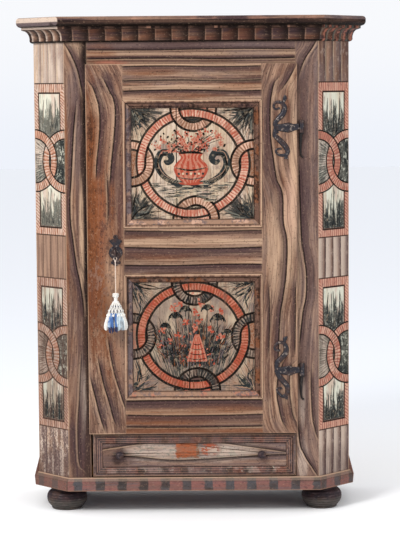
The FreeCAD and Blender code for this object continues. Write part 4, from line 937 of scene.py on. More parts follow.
class Shape:
    """Corners and faces gathered for one piece. Every skin is closed."""

    def __init__(self):
        self.corners, self.faces, self.tones = [], [], []

    def skin(self, rings, tone=0, looped=False):
        start, count = len(self.corners), len(rings[0])
        for ring in rings:
            self.corners.extend(ring)
        for k in range(len(rings) if looped else len(rings) - 1):
            here, there = start + k * count, start + (k + 1) % len(rings) * count
            for i in range(count):
                j = (i + 1) % count
                self.faces.append((here + i, here + j, there + j, there + i))
        if not looped:
            last = start + (len(rings) - 1) * count
            self.faces.append(tuple(range(start, start + count)))
            self.faces.append(tuple(range(last, last + count)))
        self.tones.extend([tone] * (len(self.faces) - len(self.tones)))

    def turned(self, profile, centre, axis="z", sides=48, tone=0):
        """A turned form: profile is (radius, place along the axis) from one end."""
        rings = [
            [
                Vector(centre) + facing(axis, radius * cos(a), radius * sin(a), level)
                for a in around(sides)
            ] for radius, level in profile
        ]
        self.skin(rings, tone)

    def rope(self, path, radii, sides=8, tone=0, flat=1, face=(0, 1, 0)):
        """A round or flattened bar along a path. flat is its thickness along face as a
        share of its width."""
        rings = []
        for k, here in enumerate(path):
            before, after = Vector(path[max(k - 1, 0)]), Vector(path[min(k + 1, len(path) - 1)])
            ahead = (after - before).normalized()
            side = ahead.cross(Vector(face))
            side = side.normalized() if side.length > 1e-6 else Vector((1, 0, 0))
            over = side.cross(ahead).normalized()
            radius = radii[k] if hasattr(radii, "__len__") else radii
            rings.append(
                [
                    Vector(here) + side * (radius * cos(a)) + over * (radius * flat * sin(a))
                    for a in around(sides)
                ]
            )
        self.skin(rings, tone)

    def ball(self, centre, radius, tone, sides):
        levels = [pi * (k + 0.35) / 5.7 for k in range(6)]
        profile = [(radius * sin(a), -radius * cos(a)) for a in levels]
        self.turned(profile, centre, "z", sides, tone)

    def hoop(self, centre, radius, thick, face="z", sides=20, corners=6, flat=1):
        """A closed ring of round or flattened rod. face is the way that it faces."""
        rings = []
        for a in around(sides):
            ring = []
            for b in around(corners):
                reach, rise = radius + thick * cos(b), thick * flat * sin(b)
                ring.append(Vector(centre) + facing(face, reach * cos(a), reach * sin(a), rise))
            rings.append(ring)
        self.skin(rings, 0, True)

    def build(self, name, body, finishes, slot=None, smooth=True, stands_for=()):
        mesh = bpy.data.meshes.new(name)
        mesh.from_pydata([tuple(c) for c in self.corners], [], self.faces)
        for finish in finishes:
            mesh.materials.append(finish)
        mesh.polygons.foreach_set("material_index", self.tones)
        mesh.polygons.foreach_set("use_smooth", [smooth] * len(self.faces))
        work = bmesh.new()
        work.from_mesh(mesh)
        bmesh.ops.recalc_face_normals(work, faces=work.faces)
        work.to_mesh(mesh)
        work.free()
        if smooth:
            mesh.set_sharp_from_angle(angle=radians(42))
        piece = bpy.data.objects.new(name, mesh)
        bpy.context.scene.collection.objects.link(piece)
        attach(piece, body)
        if stands_for:
            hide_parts(*stands_for)


UPPER_FIELD = (-0.219, 0.225, 1.086, 1.489)
LOWER_FIELD = (-0.219, 0.225, 0.455, 0.855)
UPPER_RING = (-0.003, 1.289)
LOWER_RING = (0.003, 0.657)
RING_INSIDE, RING_OUTSIDE = 0.155, 0.204  # where a ring's scene ends, and the corners' grass begins
ARC_DROP, ARC_OUTSIDE = 0.203, 0.09  # the lower arc's middle below the ring's, and its outer edge


def paint_panels():
    """The two panels of the door, each with its own paints."""
    upper = {
        "ground": ("cream", "bone"), "swell": (1, 1 / 1.08), "corner": 0.2, "sweep": -0.26,
        "ring": ("peach", "salmon", "red", "soot"),
        "lenses": {
            "top": ("leaf", "soot", "salmon", "red"), "right": ("leaf", "soot", "tan", "ochre"),
            "bottom": ("leaf", "cream", "salmon", "peach"), "left": ("tan", "red", "tan", "ochre")
        },
    }
    lower = {
        "ground": ("ash", "cream"), "swell": (1 / 1.055, 1 / 1.03), "corner": 0.08, "sweep": 0,
        "ring": ("salmon", "red", "ochre", "soot"),
        "lenses": {
            "top": ("cream", "salmon", "red", "salmon"), "right": ("leaf", "soot", "tan", "ochre"),
            "bottom": ("brown", "dusk", "red", "salmon"), "left": ("leaf", "slate", "tan", "salmon")
        },
    }
    painted_panel(
        "panel_upper", UPPER_FIELD, UPPER_RING, upper, ("peach", "tan", "ochre", "soot"), 61, -0.055
    )
    painted_panel(
        "panel_lower", LOWER_FIELD, LOWER_RING, lower, ("ash", "leaf", "soot", "soot"), 73, -0.014
    )


def corner_grass(work, field, ring, rng, tones):
    """Loose brush marks that spring from the four corners of a panel."""
    left, right, bottom, top = field
    for at_x, at_z, across, up in (
        (left, top, 1, -1), (right, top, -1, -1), (left, bottom, 1, 1), (right, bottom, -1, 1)
    ):
        for k in range(44):
            angle = rng.uniform(0.04, pi / 2 - 0.04)
            reach = rng.uniform(0.025, 0.09)
            bend = rng.uniform(-0.6, 0.6)
            start = rng.uniform(0, 0.05)
            blade = []
            for share in (0, 0.5, 1):
                a = angle + bend * share
                r = start + reach * share
                u, v = at_x + across * r * cos(a), at_z + up * r * sin(a)
                inside = left < u < right and bottom < v < top
                if not inside or hypot(u - ring[0], v - ring[1]) < RING_OUTSIDE:
                    break
                blade.append((u, v))
            if len(blade) == 3:
                work.stroke(
                    blade, rng.uniform(0.002, 0.006), tones[k % len(tones)], 0.15, 0.0004, k % 3 > 0
                )
        for k in range(3):
            u = at_x + across * rng.uniform(0.006, 0.03)
            v = at_z + up * rng.uniform(0.006, 0.03)
            work.dab(u, v, rng.uniform(0.005, 0.011), tones[0], 0.0003, 0.7, rng.uniform(0, 3), 11)


def paint_upper_motif():
    """A footed urn of flowers between two curling waves, with water below."""
    rng = random.Random(11)
    tones = ("leaf", "salmon", "red", "soot", "cream", "tan", "moss")
    leaf, salmon, red, soot, cream, tan, moss = range(7)
    work = Brushwork((0, PANEL_FACE, 0), (1, 0, 0), (0, 0, 1), (0, -1, 0))
    cx, cz = UPPER_RING
    corner_grass(work, UPPER_FIELD, UPPER_RING, rng, (leaf, soot, leaf, moss, leaf, soot))

    def at(u, v):
        return cx + u, cz + v

    # Curling waves
    for side in (-1, 1):
        reach = 1 if side < 0 else 1.08
        curl = [
            at(side * 0.01 * reach, -0.074), at(side * 0.06 * reach, -0.068),
            at(side * 0.1 * reach, -0.044), at(side * 0.121 * reach, -0.004),
            at(side * 0.11 * reach, 0.034), at(side * 0.083 * reach, 0.038),
            at(side * 0.07 * reach, 0.016), at(side * 0.084 * reach, 0.002),
            at(side * 0.096 * reach, 0.012)
        ]
        work.stroke(curl, 0.026, leaf, 0.3, 0.0004, False, 5)
        work.stroke([(u + 0.002, v + 0.005) for u, v in curl[1:6]], 0.0026, tan, 0.3, 0.0007, False, 5)
        work.stroke([(u, v - 0.006) for u, v in curl[1:6]], 0.006, soot, 0.3, 0.0007, False, 5)
        for k in range(12):
            lean = 0.3 + 0.6 * k / 12
            work.stroke(
                [
                    at(side * lean * 0.12, -0.082 + 0.02 * lean),
                    at(side * (lean * 0.12 + 0.008), -0.07 + 0.03 * lean),
                ], 0.0018, cream, 0.3, 0.0008,
            )
    work.stroke(
        [at(-0.1, -0.05), at(-0.05, -0.078), at(0, -0.086), at(0.056, -0.078), at(0.108, -0.05)],
        0.018, leaf, 0.3, 0.00035, False, 5,
    )
    # Urn
    for k in range(11):
        lean = (k - 5) / 5
        work.stroke(
            [
                at(lean * 0.02, -0.07), at(lean * 0.046, -0.046), at(lean * 0.056, -0.014),
                at(lean * 0.03, 0.018), at(lean * 0.042, 0.036)
            ], 0.0115, salmon if k % 2 else red, 0.5, 0.0006, False, 4,
        )
    work.stroke([at(-0.044, -0.072), at(0, -0.075), at(0.044, -0.072)], 0.01, red, 0.4, 0.0007)
    work.stroke([at(-0.044, 0.036), at(0, 0.04), at(0.044, 0.036)], 0.009, soot, 0.3, 0.0008)
    work.stroke([at(-0.056, -0.016), at(0, -0.026), at(0.056, -0.016)], 0.006, soot, 0.3, 0.0008)
    work.stroke([at(-0.05, -0.05), at(0, -0.058), at(0.05, -0.05)], 0.004, leaf, 0.3, 0.0008)
    for k in range(7):
        work.dab(*at((k - 3) * 0.0145, -0.038), 0.0045, cream if k % 2 else leaf, 0.0009)
    # Bouquet
    for k in range(126):
        angle = rng.uniform(0.05, pi - 0.05)
        reach = rng.uniform(0.02, 0.135)
        u, v = reach * cos(angle) * 1.02, 0.042 + reach * sin(angle) * 0.72
        if hypot(u - 0.004, v - 0.2) < 0.092 or hypot(u, v) > 0.15:
            continue
        if k % 3 == 0:
            work.stroke(
                [at(u * 0.1, 0.036), at(u * 0.5, 0.03 + (v - 0.03) * 0.65), at(u, v)],
                0.0026, red if k % 2 else leaf, 0.3, 0.0004,
            )
        if k % 4 in (1, 2):
            work.dab(*at(u, v), rng.uniform(0.0028, 0.0062), soot, 0.0008, 0.7, rng.uniform(0, 3))
        elif k % 4 == 3:
            for petal in range(5):
                turn = petal * 2 * pi / 5 + angle
                work.dab(
                    *at(u + 0.006 * cos(turn), v + 0.006 * sin(turn)), 0.0042, salmon, 0.0006, 0.6, turn,
                    7
                )
            work.dab(*at(u, v), 0.0026, red, 0.0009)
        else:
            for _ in range(3):
                work.dab(
                    *at(u + rng.uniform(-0.01, 0.01), v + rng.uniform(-0.01, 0.01)),
                    rng.uniform(0.0028, 0.006),
                    red if rng.random() < 0.6 else salmon,
                    0.0005, 0.7, rng.uniform(0, 3), 7,
                )
    # Water
    for k in range(300):
        u, v = rng.uniform(-0.145, 0.145), rng.uniform(-0.14, -0.07)
        if hypot(u, v) > RING_INSIDE or hypot(u, v + ARC_DROP) < ARC_OUTSIDE:
            continue
        half = rng.uniform(0.008, 0.024)
        work.stroke(
            [at(u - half, v), at(u, v + rng.uniform(-0.002, 0.003)), at(u + half, v)],
            rng.uniform(0.0014, 0.0028),
            (leaf, moss, cream, moss, soot)[k % 5],
            0.2, 0.0004,
        )
    work.lay("panel_upper_brushwork", "door", "painted_panel", tones, 3)


def paint_lower_motif():
    """A basket of berries in a bed of tall grasses with fan-shaped seed heads."""
    rng = random.Random(23)
    tones = ("leaf", "salmon", "red", "soot", "slate", "tan", "ochre")
    leaf, salmon, red, soot, slate, tan, ochre = range(7)
    work = Brushwork((0, PANEL_FACE, 0), (1, 0, 0), (0, 0, 1), (0, -1, 0))
    cx, cz = LOWER_RING
    corner_grass(work, LOWER_FIELD, LOWER_RING, rng, (leaf, soot, slate, leaf, soot, tan))

    def at(u, v):
        return cx + u, cz + v

    # Grass that leans out from the foot of the ring
    for k in range(640):
        u = rng.uniform(-0.15, 0.15)
        base = -sqrt(max(0, RING_INSIDE ** 2 - u * u)) + 0.012
        if hypot(u, base + ARC_DROP) < ARC_OUTSIDE - 0.002:
            base = -ARC_DROP + sqrt(max(0, ARC_OUTSIDE ** 2 - u * u))
        lean = u * 0.35 + rng.uniform(-0.018, 0.018)
        base += rng.uniform(0, 0.07)
        tall = rng.uniform(0.03, 0.12) * (1.25 - abs(u) * 2.5)
        if tall < 0.02 or hypot(u + lean, base + tall) >= RING_INSIDE + 0.001:
            continue
        work.stroke(
            [at(u, base), at(u + lean * 0.3, base + tall * 0.55), at(u + lean, base + tall)],
            rng.uniform(0.0016, 0.0036),
            (leaf, soot, slate, leaf, leaf, ochre, soot)[k % 7],
            0.2, 0.0004, True,
        )
    for k in range(38):
        u = rng.uniform(-0.014, 0.034)
        work.stroke(
            [at(0.013 + u * 0.3, -0.05), at(0.01 + u * 0.7, 0), at(u, rng.uniform(0.02, 0.085))],
            rng.uniform(0.002, 0.0042), leaf if k % 3 else soot, 0.15, 0.0004, True,
        )
    # Cross-laid reeds
    for k in range(15):
        u = -0.118 + k * 0.011
        work.stroke(
            [at(u, -0.098 + 0.02 * (k % 3)), at(u + 0.03, -0.062), at(u + 0.052, -0.03)],
            0.0028, soot, 0.2, 0.0005,
        )
        if k < 11:
            work.stroke(
                [at(u + 0.012, -0.05), at(u + 0.03, -0.075), at(u + 0.055, -0.105)],
                0.0024, leaf, 0.2, 0.0005,
            )
    # Stalks with fans
    for u, foot, top, size in (
        (-0.104, -0.09, 0.035, 0.02), (-0.066, -0.08, 0.07, 0.026), (-0.03, -0.08, 0.096, 0.022),
        (0.05, -0.08, 0.1, 0.022), (0.088, -0.09, 0.062, 0.028), (0.122, -0.07, 0.012, 0.018)
    ):
        work.stroke([at(u * 0.8, foot), at(u * 0.93, (foot + top) / 2), at(u, top)], 0.0042, leaf, 0.4)
        for k in range(10):
            a = pi * (0.02 + 0.96 * k / 9)
            droop = rng.uniform(0.2, 0.7)
            work.stroke(
                [
                    at(u, top - 0.006),
                    at(u + 0.55 * size * cos(a), top + 0.75 * size * sin(a)),
                    at(u + 0.95 * size * cos(a), top + size * (0.6 * sin(a) - droop * 0.4)),
                    at(u + size * cos(a), top + size * (0.4 * sin(a) - droop)),
                ], rng.uniform(0.0036, 0.0052), leaf if k % 2 else soot, 0.3, 0.0007,
            )
    # Basket: a red cone of crossed strokes
    for k in range(9):
        lean = (k - 4) / 4
        work.stroke(
            [
                at(0.012 + lean * 0.034, -0.094), at(0.012 + lean * 0.022, -0.045),
                at(0.012 + lean * 0.006, 0.006)
            ], 0.0072, red if k % 2 else salmon, 0.5, 0.00075, True,
        )
    for k in range(26):
        u, v = rng.uniform(-0.05, 0.075), rng.uniform(-0.11, 0.01)
        work.dab(*at(u, v), rng.uniform(0.003, 0.007), (red, salmon, ochre)[k % 3], 0.0005, 0.6, u * 60)
    for k in range(4):
        wide = 0.034 - k * 0.006
        v = -0.082 + k * 0.018
        work.stroke(
            [at(0.012 - wide, v), at(0.012, v - 0.005), at(0.012 + wide, v)], 0.003, soot, 0.3, 0.001
        )
    # Blossoms
    for u, v in (
        (-0.112, 0.02), (-0.09, -0.012), (-0.075, 0.1), (-0.052, 0.118), (-0.03, 0.05), (0.004, 0.082),
        (0.022, 0.05), (0.07, 0.104), (0.1, 0.086), (0.062, 0.02), (0.1, -0.005), (-0.06, 0),
        (0.004, 0.026), (-0.122, -0.03), (0.03, 0.118)
    ):
        for _ in range(9):
            work.dab(
                *at(u + rng.gauss(0, 0.006), v + rng.gauss(0, 0.006)),
                rng.uniform(0.003, 0.0078),
                red if rng.random() < 0.6 else salmon,
                0.0006, 0.6, rng.uniform(0, 3), 7,
            )
    work.lay("panel_lower_brushwork", "door", "painted_panel", tones, 9)


# ------------------------------------------------------------------ canted corners

# The heights of each board's two blocks, the upper first, and its left and right edge as (x, y).
CANT_BLOCKS = {"left": ((1.024, 1.583), (0.308, 0.87)), "right": ((1.011, 1.582), (0.301, 0.865))}
CANT_ENDS = {"left": ((-0.58, -0.063), (-0.46, -0.193)), "right": ((0.46, -0.193), (0.58, -0.063))}


def paint_cants():
    """The canted corner boards: flutes, and two painted blocks on each."""
    for side, (start, end) in CANT_ENDS.items():
        name = f"corner_board_{side}"
        low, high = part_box(name)
        f = Board(f"{name}_paint", low, high, "z", "x", 83 if side == "left" else 97)
        wide = dist(start, end)
        way = ((end[0] - start[0]) / wide, (end[1] - start[1]) / wide)
        s = (f.x - start[0]) * way[0] + (f.y - start[1]) * way[1]
        f.depth = (f.x - start[0]) * way[1] - (f.y - start[1]) * way[0]
        f.set_span(f.z, low.z, high.z, s, 0, wide)
        f.brush_up()
        # The left board is painted paler all over than the right: partly its own paint, partly painted
        # light falling from the left.
        pale = side == "left"
        f.colour = f.mix(
            "bone" if pale else "tan", "straw" if pale else "brown", f.streak.rise(0.4, 0.65)
        )
        flute = (s * (4 / wide) + f.wander * 30 + f.fine * 0.1 - 0.03).fraction()
        f.coat("slate" if pale else "dusk", flute.rise(0.3, 1) * (0.55 if pale else 0.8))
        f.coat("salmon", f.cloud.rise(0.55, 0.7) * (0.25 if pale else 0.12))
        f.coat("vein", flute.rise(0.93, 0.98) * (0.45 if pale else 0.75))
        f.groove = flute.rise(0.9, 0.98)
        f.coat("cream", flute.fall(0.05, 0.16) * 0.5)
        f.coat("slate", f.cloud.rise(0.42, 0.6) * (0.34 if pale else 0.5))
        f.coat("bone", f.blot.rise(0.54, 0.62) * 0.25)
        lower = f.z.fall(1, 1.4)
        if pale:
            f.coat("tan", lower * 0.8)
            f.coat("brown", lower * f.streak.fall(0.42, 0.56) * 0.6)
            f.coat("vein", lower * flute.rise(0.8, 0.98) * 0.5)
            low_end, foot = f.z.fall(0.28, 0.4), f.z.fall(0.28, 0.34)
            f.coat("slate", low_end * f.cloud.rise(0.4, 0.55) * 0.6)
            f.coat("bone", low_end * f.streak.rise(0.52, 0.58) * 0.5)
            worn = (f.blot * 0.5 + f.speck * 0.3 + f.streak * 0.4).rise(0.6, 0.68)
            f.coat("bone", foot * worn * 0.85)
            f.coat("vein", foot * f.speck.fall(0.4, 0.48) * 0.5)
        else:
            f.coat("bone", lower * flute.fall(0.2, 0.9) * 0.8)
        f.patch("dusk", 0.04, 0.5, 0.05, 0.8, 0.5)
        f.pits(0.4, 0.3)
        paint_blocks(f, s, wide, side)
        f.edges(0.6, 0.6, 0.3, 0.005)
        f.bare(abs(f.depth).rise(0.012, 0.014))
        dress(name, f.seal(0.6))


def paint_blocks(f, s, wide, side):
    """Two blocks of interlaced bands in frames, where s is metres across the board."""
    sizes = bpy.context.scene.ornament_sizes
    # The left board's blocks are paler: partly their own paint, partly painted light from the left.
    pale = side == "left"
    (upper_low, upper_high), (lower_low, lower_high) = CANT_BLOCKS[side]
    is_upper = f.z > (upper_low + lower_high) / 2
    tall = is_upper * ((upper_high - upper_low) - (lower_high - lower_low)) + (lower_high - lower_low)
    t = f.z - (is_upper * (upper_low - lower_low) + lower_low)
    block = t.between(0, 2, 0.0012) & (tall - t).between(0, 2, 0.0012)
    rise = t - (tall * 0.5 - sizes.strand_drop)
    fold = (rise * (1 / sizes.strand_height)) ** 2

    def strand(gap):
        bulge = ((gap * (1 / sizes.strand_radius)) ** 2 + fold) ** 0.5
        return (bulge - 1) * sizes.strand_radius

    off_a, off_b = strand(s), strand(wide - s)
    band, line = 0.0155, 0.006
    edge = band + line
    end_gap = (t & (tall - t - 0.006)) - sizes.end_band
    side_gap = (s & (wide - s)) - sizes.side_band
    frame_off = -(end_gap & side_gap)
    window = frame_off.fall(-0.001, 0.0004)
    tones = ("bone", "blush", "ochre", "soot") if pale else ("peach", "salmon", "rose", "soot")
    # Frame band, then windows, lunettes and strands
    inner = f.mix(tones[0], tones[1], f.cloud.rise(0.3, 0.6))
    inner = f.mix(inner, "salmon", f.streak.rise(0.5, 0.62) * 0.5)
    side_on = side_gap < end_gap
    run_here = (t + s * 0.7) * side_on + s * ~side_on
    strokes = (run_here * 84 + f.cloud * 2.2 + f.fine * 0.6).fraction()
    inner = f.mix(inner, "bone" if pale else "peach", strokes.between(0.45, 0.95, 0.12) * 0.6)
    inner = f.mix(inner, tones[2], strokes.between(0, 0.34, 0.12) * 0.75)
    inner = f.mix(inner, "dusk", f.blot.rise(0.56, 0.62) * 0.4)
    inner = f.mix(inner, tones[3], frame_off.between(0, 0.0062, 0.0008) * 0.95)
    blade = f.cells(s * 75, t * 14, 0, 4, 0.65)
    window_foot = (rise > 0) * (tall * 0.5 + 0.06) + 0.03
    grow = (t - window_foot) * (1 / 0.15)
    glass = f.mix("chalk", "bone", f.cloud.rise(0.45, 0.6))
    glass = f.mix(glass, "cream", f.streak.rise(0.5, 0.62) * 0.6)
    spikes = blade - grow * 0.36
    glass = f.mix(glass, "moss", spikes.rise(0.25, 0.33) * 0.8)
    deep = ~is_upper * 0.4 + 0.45 if pale else 0.85
    glass = f.mix(glass, "leaf", spikes.rise(0.31, 0.4) * deep)
    mottle = f.noise(120, 120, 120, 3, 0.7, 9)
    glass = f.mix(glass, "chalk", (mottle.rise(0.54, 0.62) & grow.fall(0.4, 0.9)) * 0.4)
    painted = f.mix(inner, glass, window)
    inside_a, inside_b = off_a.fall(-edge, -edge + 0.001), off_b.fall(-edge, -edge + 0.001)
    far = wide - s
    fringe = f.cells(rise.maths("ARCTAN2", rise, far) * 46, root(far, rise) * 22, 0, 4, 0.7)
    moss = f.mix("leaf", "moss", f.cloud.rise(0.35, 0.6))
    moss = f.mix(moss, "chalk", f.blot.rise(0.53, 0.6) * 0.65)
    moss = f.mix(moss, "soot", mottle.fall(0.4, 0.48) * 0.85)
    dim = f.mix("bone", "moss", f.cloud.rise(0.4, 0.62))
    dim = f.mix(dim, "leaf", fringe.fall(0.45, 0.5) * (~is_upper * 0.2 + 0.75))
    dim = f.mix(dim, "chalk", fringe.rise(0.54, 0.62) * 0.5)
    dim = f.mix(dim, "brown" if pale else "ash", ~is_upper * 0.45)
    painted = f.mix(painted, dim, inside_a & ~inside_b)
    painted = f.mix(painted, moss, inside_b & ~inside_a)
    painted = f.mix(painted, "vein", (inside_a & inside_b) * 0.5)
    run_a, run_b = (rise.maths("ARCTAN2", rise, gap) * sizes.strand_radius for gap in (s, wide - s))
    for off, run, mask in ((off_b, run_b, 1), (off_a, run_a, 1), (off_b, run_b, rise < 0)):
        painted = banding(f, painted, off, run, 0.0118, tones, (band, line), mask)
    ends = (t & (tall - t)).fall(0.0036, 0.0052)
    painted = f.mix(painted, tones[3], ends * 0.9)
    painted = f.mix(painted, "straw", (f.cloud + f.fine * 0.5).rise(0.9, 1.05) * 0.4)
    if pale:
        painted = f.mix(painted, "brown", ~is_upper * (f.streak.rise(0.42, 0.6) * 0.35 + 0.22))
    painted = f.mix(painted, "vein", f.fine.fall(0.32, 0.44) * 0.5)
    f.coat(painted, block)


def plant_cants():
    """Spikes of foliage in the windows of the canted blocks."""
    rng = random.Random(5)
    for side, (start, end) in CANT_ENDS.items():
        wide = dist(start, end)
        way = Vector((end[0] - start[0], end[1] - start[1], 0)).normalized()
        out = Vector((way.y, -way.x, 0))
        work = Brushwork((*start, 0), way, (0, 0, 1), out)
        for low, high in CANT_BLOCKS[side]:
            middle = (low + high) / 2
            for foot, top in ((low + 0.036, middle - 0.085), (middle + 0.088, high - 0.05)):
                upper = foot > middle
                faint = 2 if side == "left" and low > 0.9 else 0
                for k in range(3):
                    at = wide * (0.3 + 0.2 * k)
                    base = foot + (0.045 * abs(k - 1) if upper else 0)
                    tip = top - (0 if upper else 0.045 * abs(k - 1)) - rng.uniform(0, 0.02)
                    work.stroke(
                        [
                            (at, base),
                            (at + rng.uniform(-0.003, 0.003), (base + tip) / 2),
                            (at + rng.uniform(-0.004, 0.004), tip),
                        ], 0.009, faint, 0.08, 0.0005, True,
                    )
                for _ in range(16):
                    at = wide * rng.uniform(0.2, 0.8)
                    base = foot + (0.7 * abs(at - wide / 2) if upper else rng.uniform(0, 0.01))
                    tall = rng.uniform(0.025, 0.075)
                    work.stroke(
                        [
                            (at, base),
                            (at + rng.uniform(-0.004, 0.004), base + tall * 0.5),
                            (at + rng.uniform(-0.008, 0.008), base + tall),
                        ], rng.uniform(0.0025, 0.005),
                        rng.choice((faint, faint, 1 if faint == 0 else 0)),
                        0.1, 0.0004, True,
                    )
        work.lay(f"cant_{side}_brushwork", "case", "painted_case", ("leaf", "soot", "moss"), 21)


# ------------------------------------------------------------------ mouldings

RUNS = ("front", "corner_left", "corner_right", "side_left", "side_right")
CANT_ACROSS, CANT_BACK = 0.678, 0.735  # the way that a canted run goes, across and to the back


def paint_slab():
    """The cornice's slab, with its canted corners."""
    slab = Board("cornice_slab_paint", *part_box("cornice_slab"), "x", "z", 101)
    slab.groove = slab.fine.fall(0.3, 0.4) * 0.2
    slab.colour = slab.mix("dusk", "tan", slab.streak.rise(0.4, 0.62) * 0.65)
    slab.coat("blush", slab.cloud.rise(0.5, 0.62) * 0.3)
    # Painted shade: the slab's lower part is darkened, partly its own dark paint, and its foot is
    # blackened as a painted shadow line over the cove.
    low = slab.z.fall(1.8065, 1.8085)
    slab.coat("vein", low * 0.9)
    slab.coat("brown", slab.z.between(1.797, 1.806, 0.002) * slab.streak.rise(0.4, 0.6) * 0.4)
    slab.coat("soot", slab.z.fall(1.791, 1.794) * 0.9)
    # The canted ends: the left one pale above and grey at its foot, the right one greyed; partly their
    # paint, partly painted light from the left and shade below.
    canted = (abs(slab.x) * CANT_BACK - slab.y * CANT_ACROSS).rise(0.522, 0.525)
    left = slab.x < 0
    foot = slab.z.fall(1.799, 1.803)
    slab.coat("bone", canted * left * ~foot * 0.95)
    slab.coat("slate", canted * left * foot * slab.cloud.rise(0.3, 0.5) * 0.9)
    slab.coat("slate", canted * ~left * ~low * 0.6)
    slab.coat("vein", slab.fine.fall(0.3, 0.42) * 0.4)
    slab.pits()
    dress("cornice_slab", slab.seal(), 0.003)


def paint_cove():
    """The cove below the slab, painted in shaded blocks."""
    for place in RUNS:
        name = f"cornice_{place}"
        low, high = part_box(name)
        along = "y" if "side" in name else "x"
        f = Board(f"{name}_paint", low, high, along, "z", 107 + len(name))
        run, pitch = f.along, 0.06
        if "corner" in name:
            run = f.x * CANT_ACROSS + f.y * (-CANT_BACK if "left" in name else CANT_BACK)
            pitch = 0.0415
        block = (run * (1 / pitch) + f.cloud * 0.08 + 0.1).fraction()
        # The left canted run is paler: partly its own paint, partly painted light from the left.
        pale = name == "cornice_corner_left"
        f.colour = f.mix(
            "brown" if pale else "dusk", "tan" if pale else "brown", f.streak.rise(0.4, 0.62)
        )
        f.coat("ochre", f.cloud.rise(0.45, 0.6) * (0.1 if pale else 0.4))
        f.coat("vein", block.rise(0.15, 0.95) * 0.9)
        f.coat("bone" if pale else "tan", block.fall(0, 0.4 if pale else 0.12) * (0.75 if pale else 0.5))
        f.coat("vein", f.fine.fall(0.36, 0.5) * 0.4)
        fillet = f.z > 1.7762
        segments = f.cells(run * 16, 0, 0, 2, 0.5)
        strip = f.mix("vein", "brown", segments.rise(0.42, 0.5) * block.fall(0.3, 0.8) * 0.45)
        strip = f.mix(strip, "blush", segments.rise(0.6, 0.64) * 0.4)
        strip = f.mix(strip, "bone", 0.75 if pale else 0)
        f.coat(strip, fillet)
        f.coat("vein", f.z.between(1.7745, 1.7768, 0.0006) * 0.9)
        f.coat("soot", f.z.fall(1.7335, 1.735) * 0.95)
        if name == "cornice_corner_right":
            stripe = (run * 26 + 0.3).fraction()
            f.coat("salmon", stripe.fall(0.3, 0.4) * f.blot.rise(0.44, 0.54) * 0.6)
            f.coat("moss", stripe.between(0.42, 0.7, 0.04) * f.cloud.rise(0.4, 0.55) * 0.5)
        f.groove = block.rise(0.9, 0.98) * 0.4
        f.pits(0.4, 0.2)
        dress(name, f.seal(0.55))


def paint_plinth():
    """The plinth, in alternating red and dark blocks."""
    for place in RUNS:
        name = f"plinth_{place}"
        low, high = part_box(name)
        along = "y" if "side" in name else "x"
        f = Board(f"{name}_paint", low, high, along, "z", 131 + len(name))
        run = f.along * (1.45 if "corner" in name else 1)
        block = (run * (1 / 0.08) + f.cloud * 0.25).fraction()
        f.colour = f.mix("brown", "rose", f.cloud.rise(0.25, 0.5) * 0.9)
        f.coat("blush", f.streak.rise(0.5, 0.62) * 0.3)
        f.coat("dusk", f.blot.rise(0.52, 0.6) * 0.45 | f.streak.rise(0.5, 0.62) * 0.5)
        f.coat("slate", f.fine.rise(0.5, 0.62) * 0.45 + 0.22)
        dark = (block + (f.streak - 0.5) * 0.2).between(0.6, 1.04, 0.05)
        f.coat("leaf", dark * 0.8)
        f.coat("moss", dark * f.cloud.rise(0.35, 0.6) * 0.35)
        f.coat("blue", dark * f.cloud.rise(0.4, 0.6) * 0.05)
        f.coat("ash", f.z.rise(high.z - 0.014, high.z - 0.012) * 0.45)
        f.coat("vein", f.z.between(high.z - 0.0145, high.z - 0.0125, 0.0005) * 0.5)
        f.coat("tan", f.z.fall(low.z + 0.002, low.z + 0.004) * 0.7)
        if "corner" in name:
            f.coat("brown", 0.5 if "left" in name else 0.2)
        if "side" in name:
            f.coat("brown", 0.55)
        f.coat("straw", f.z.between(high.z - 0.0032, high.z, 0.0006) * 0.6)
        f.groove = f.fine.fall(0.3, 0.4) * 0.3
        f.pits(0.5, 0.2)
        dress(name, f.seal())


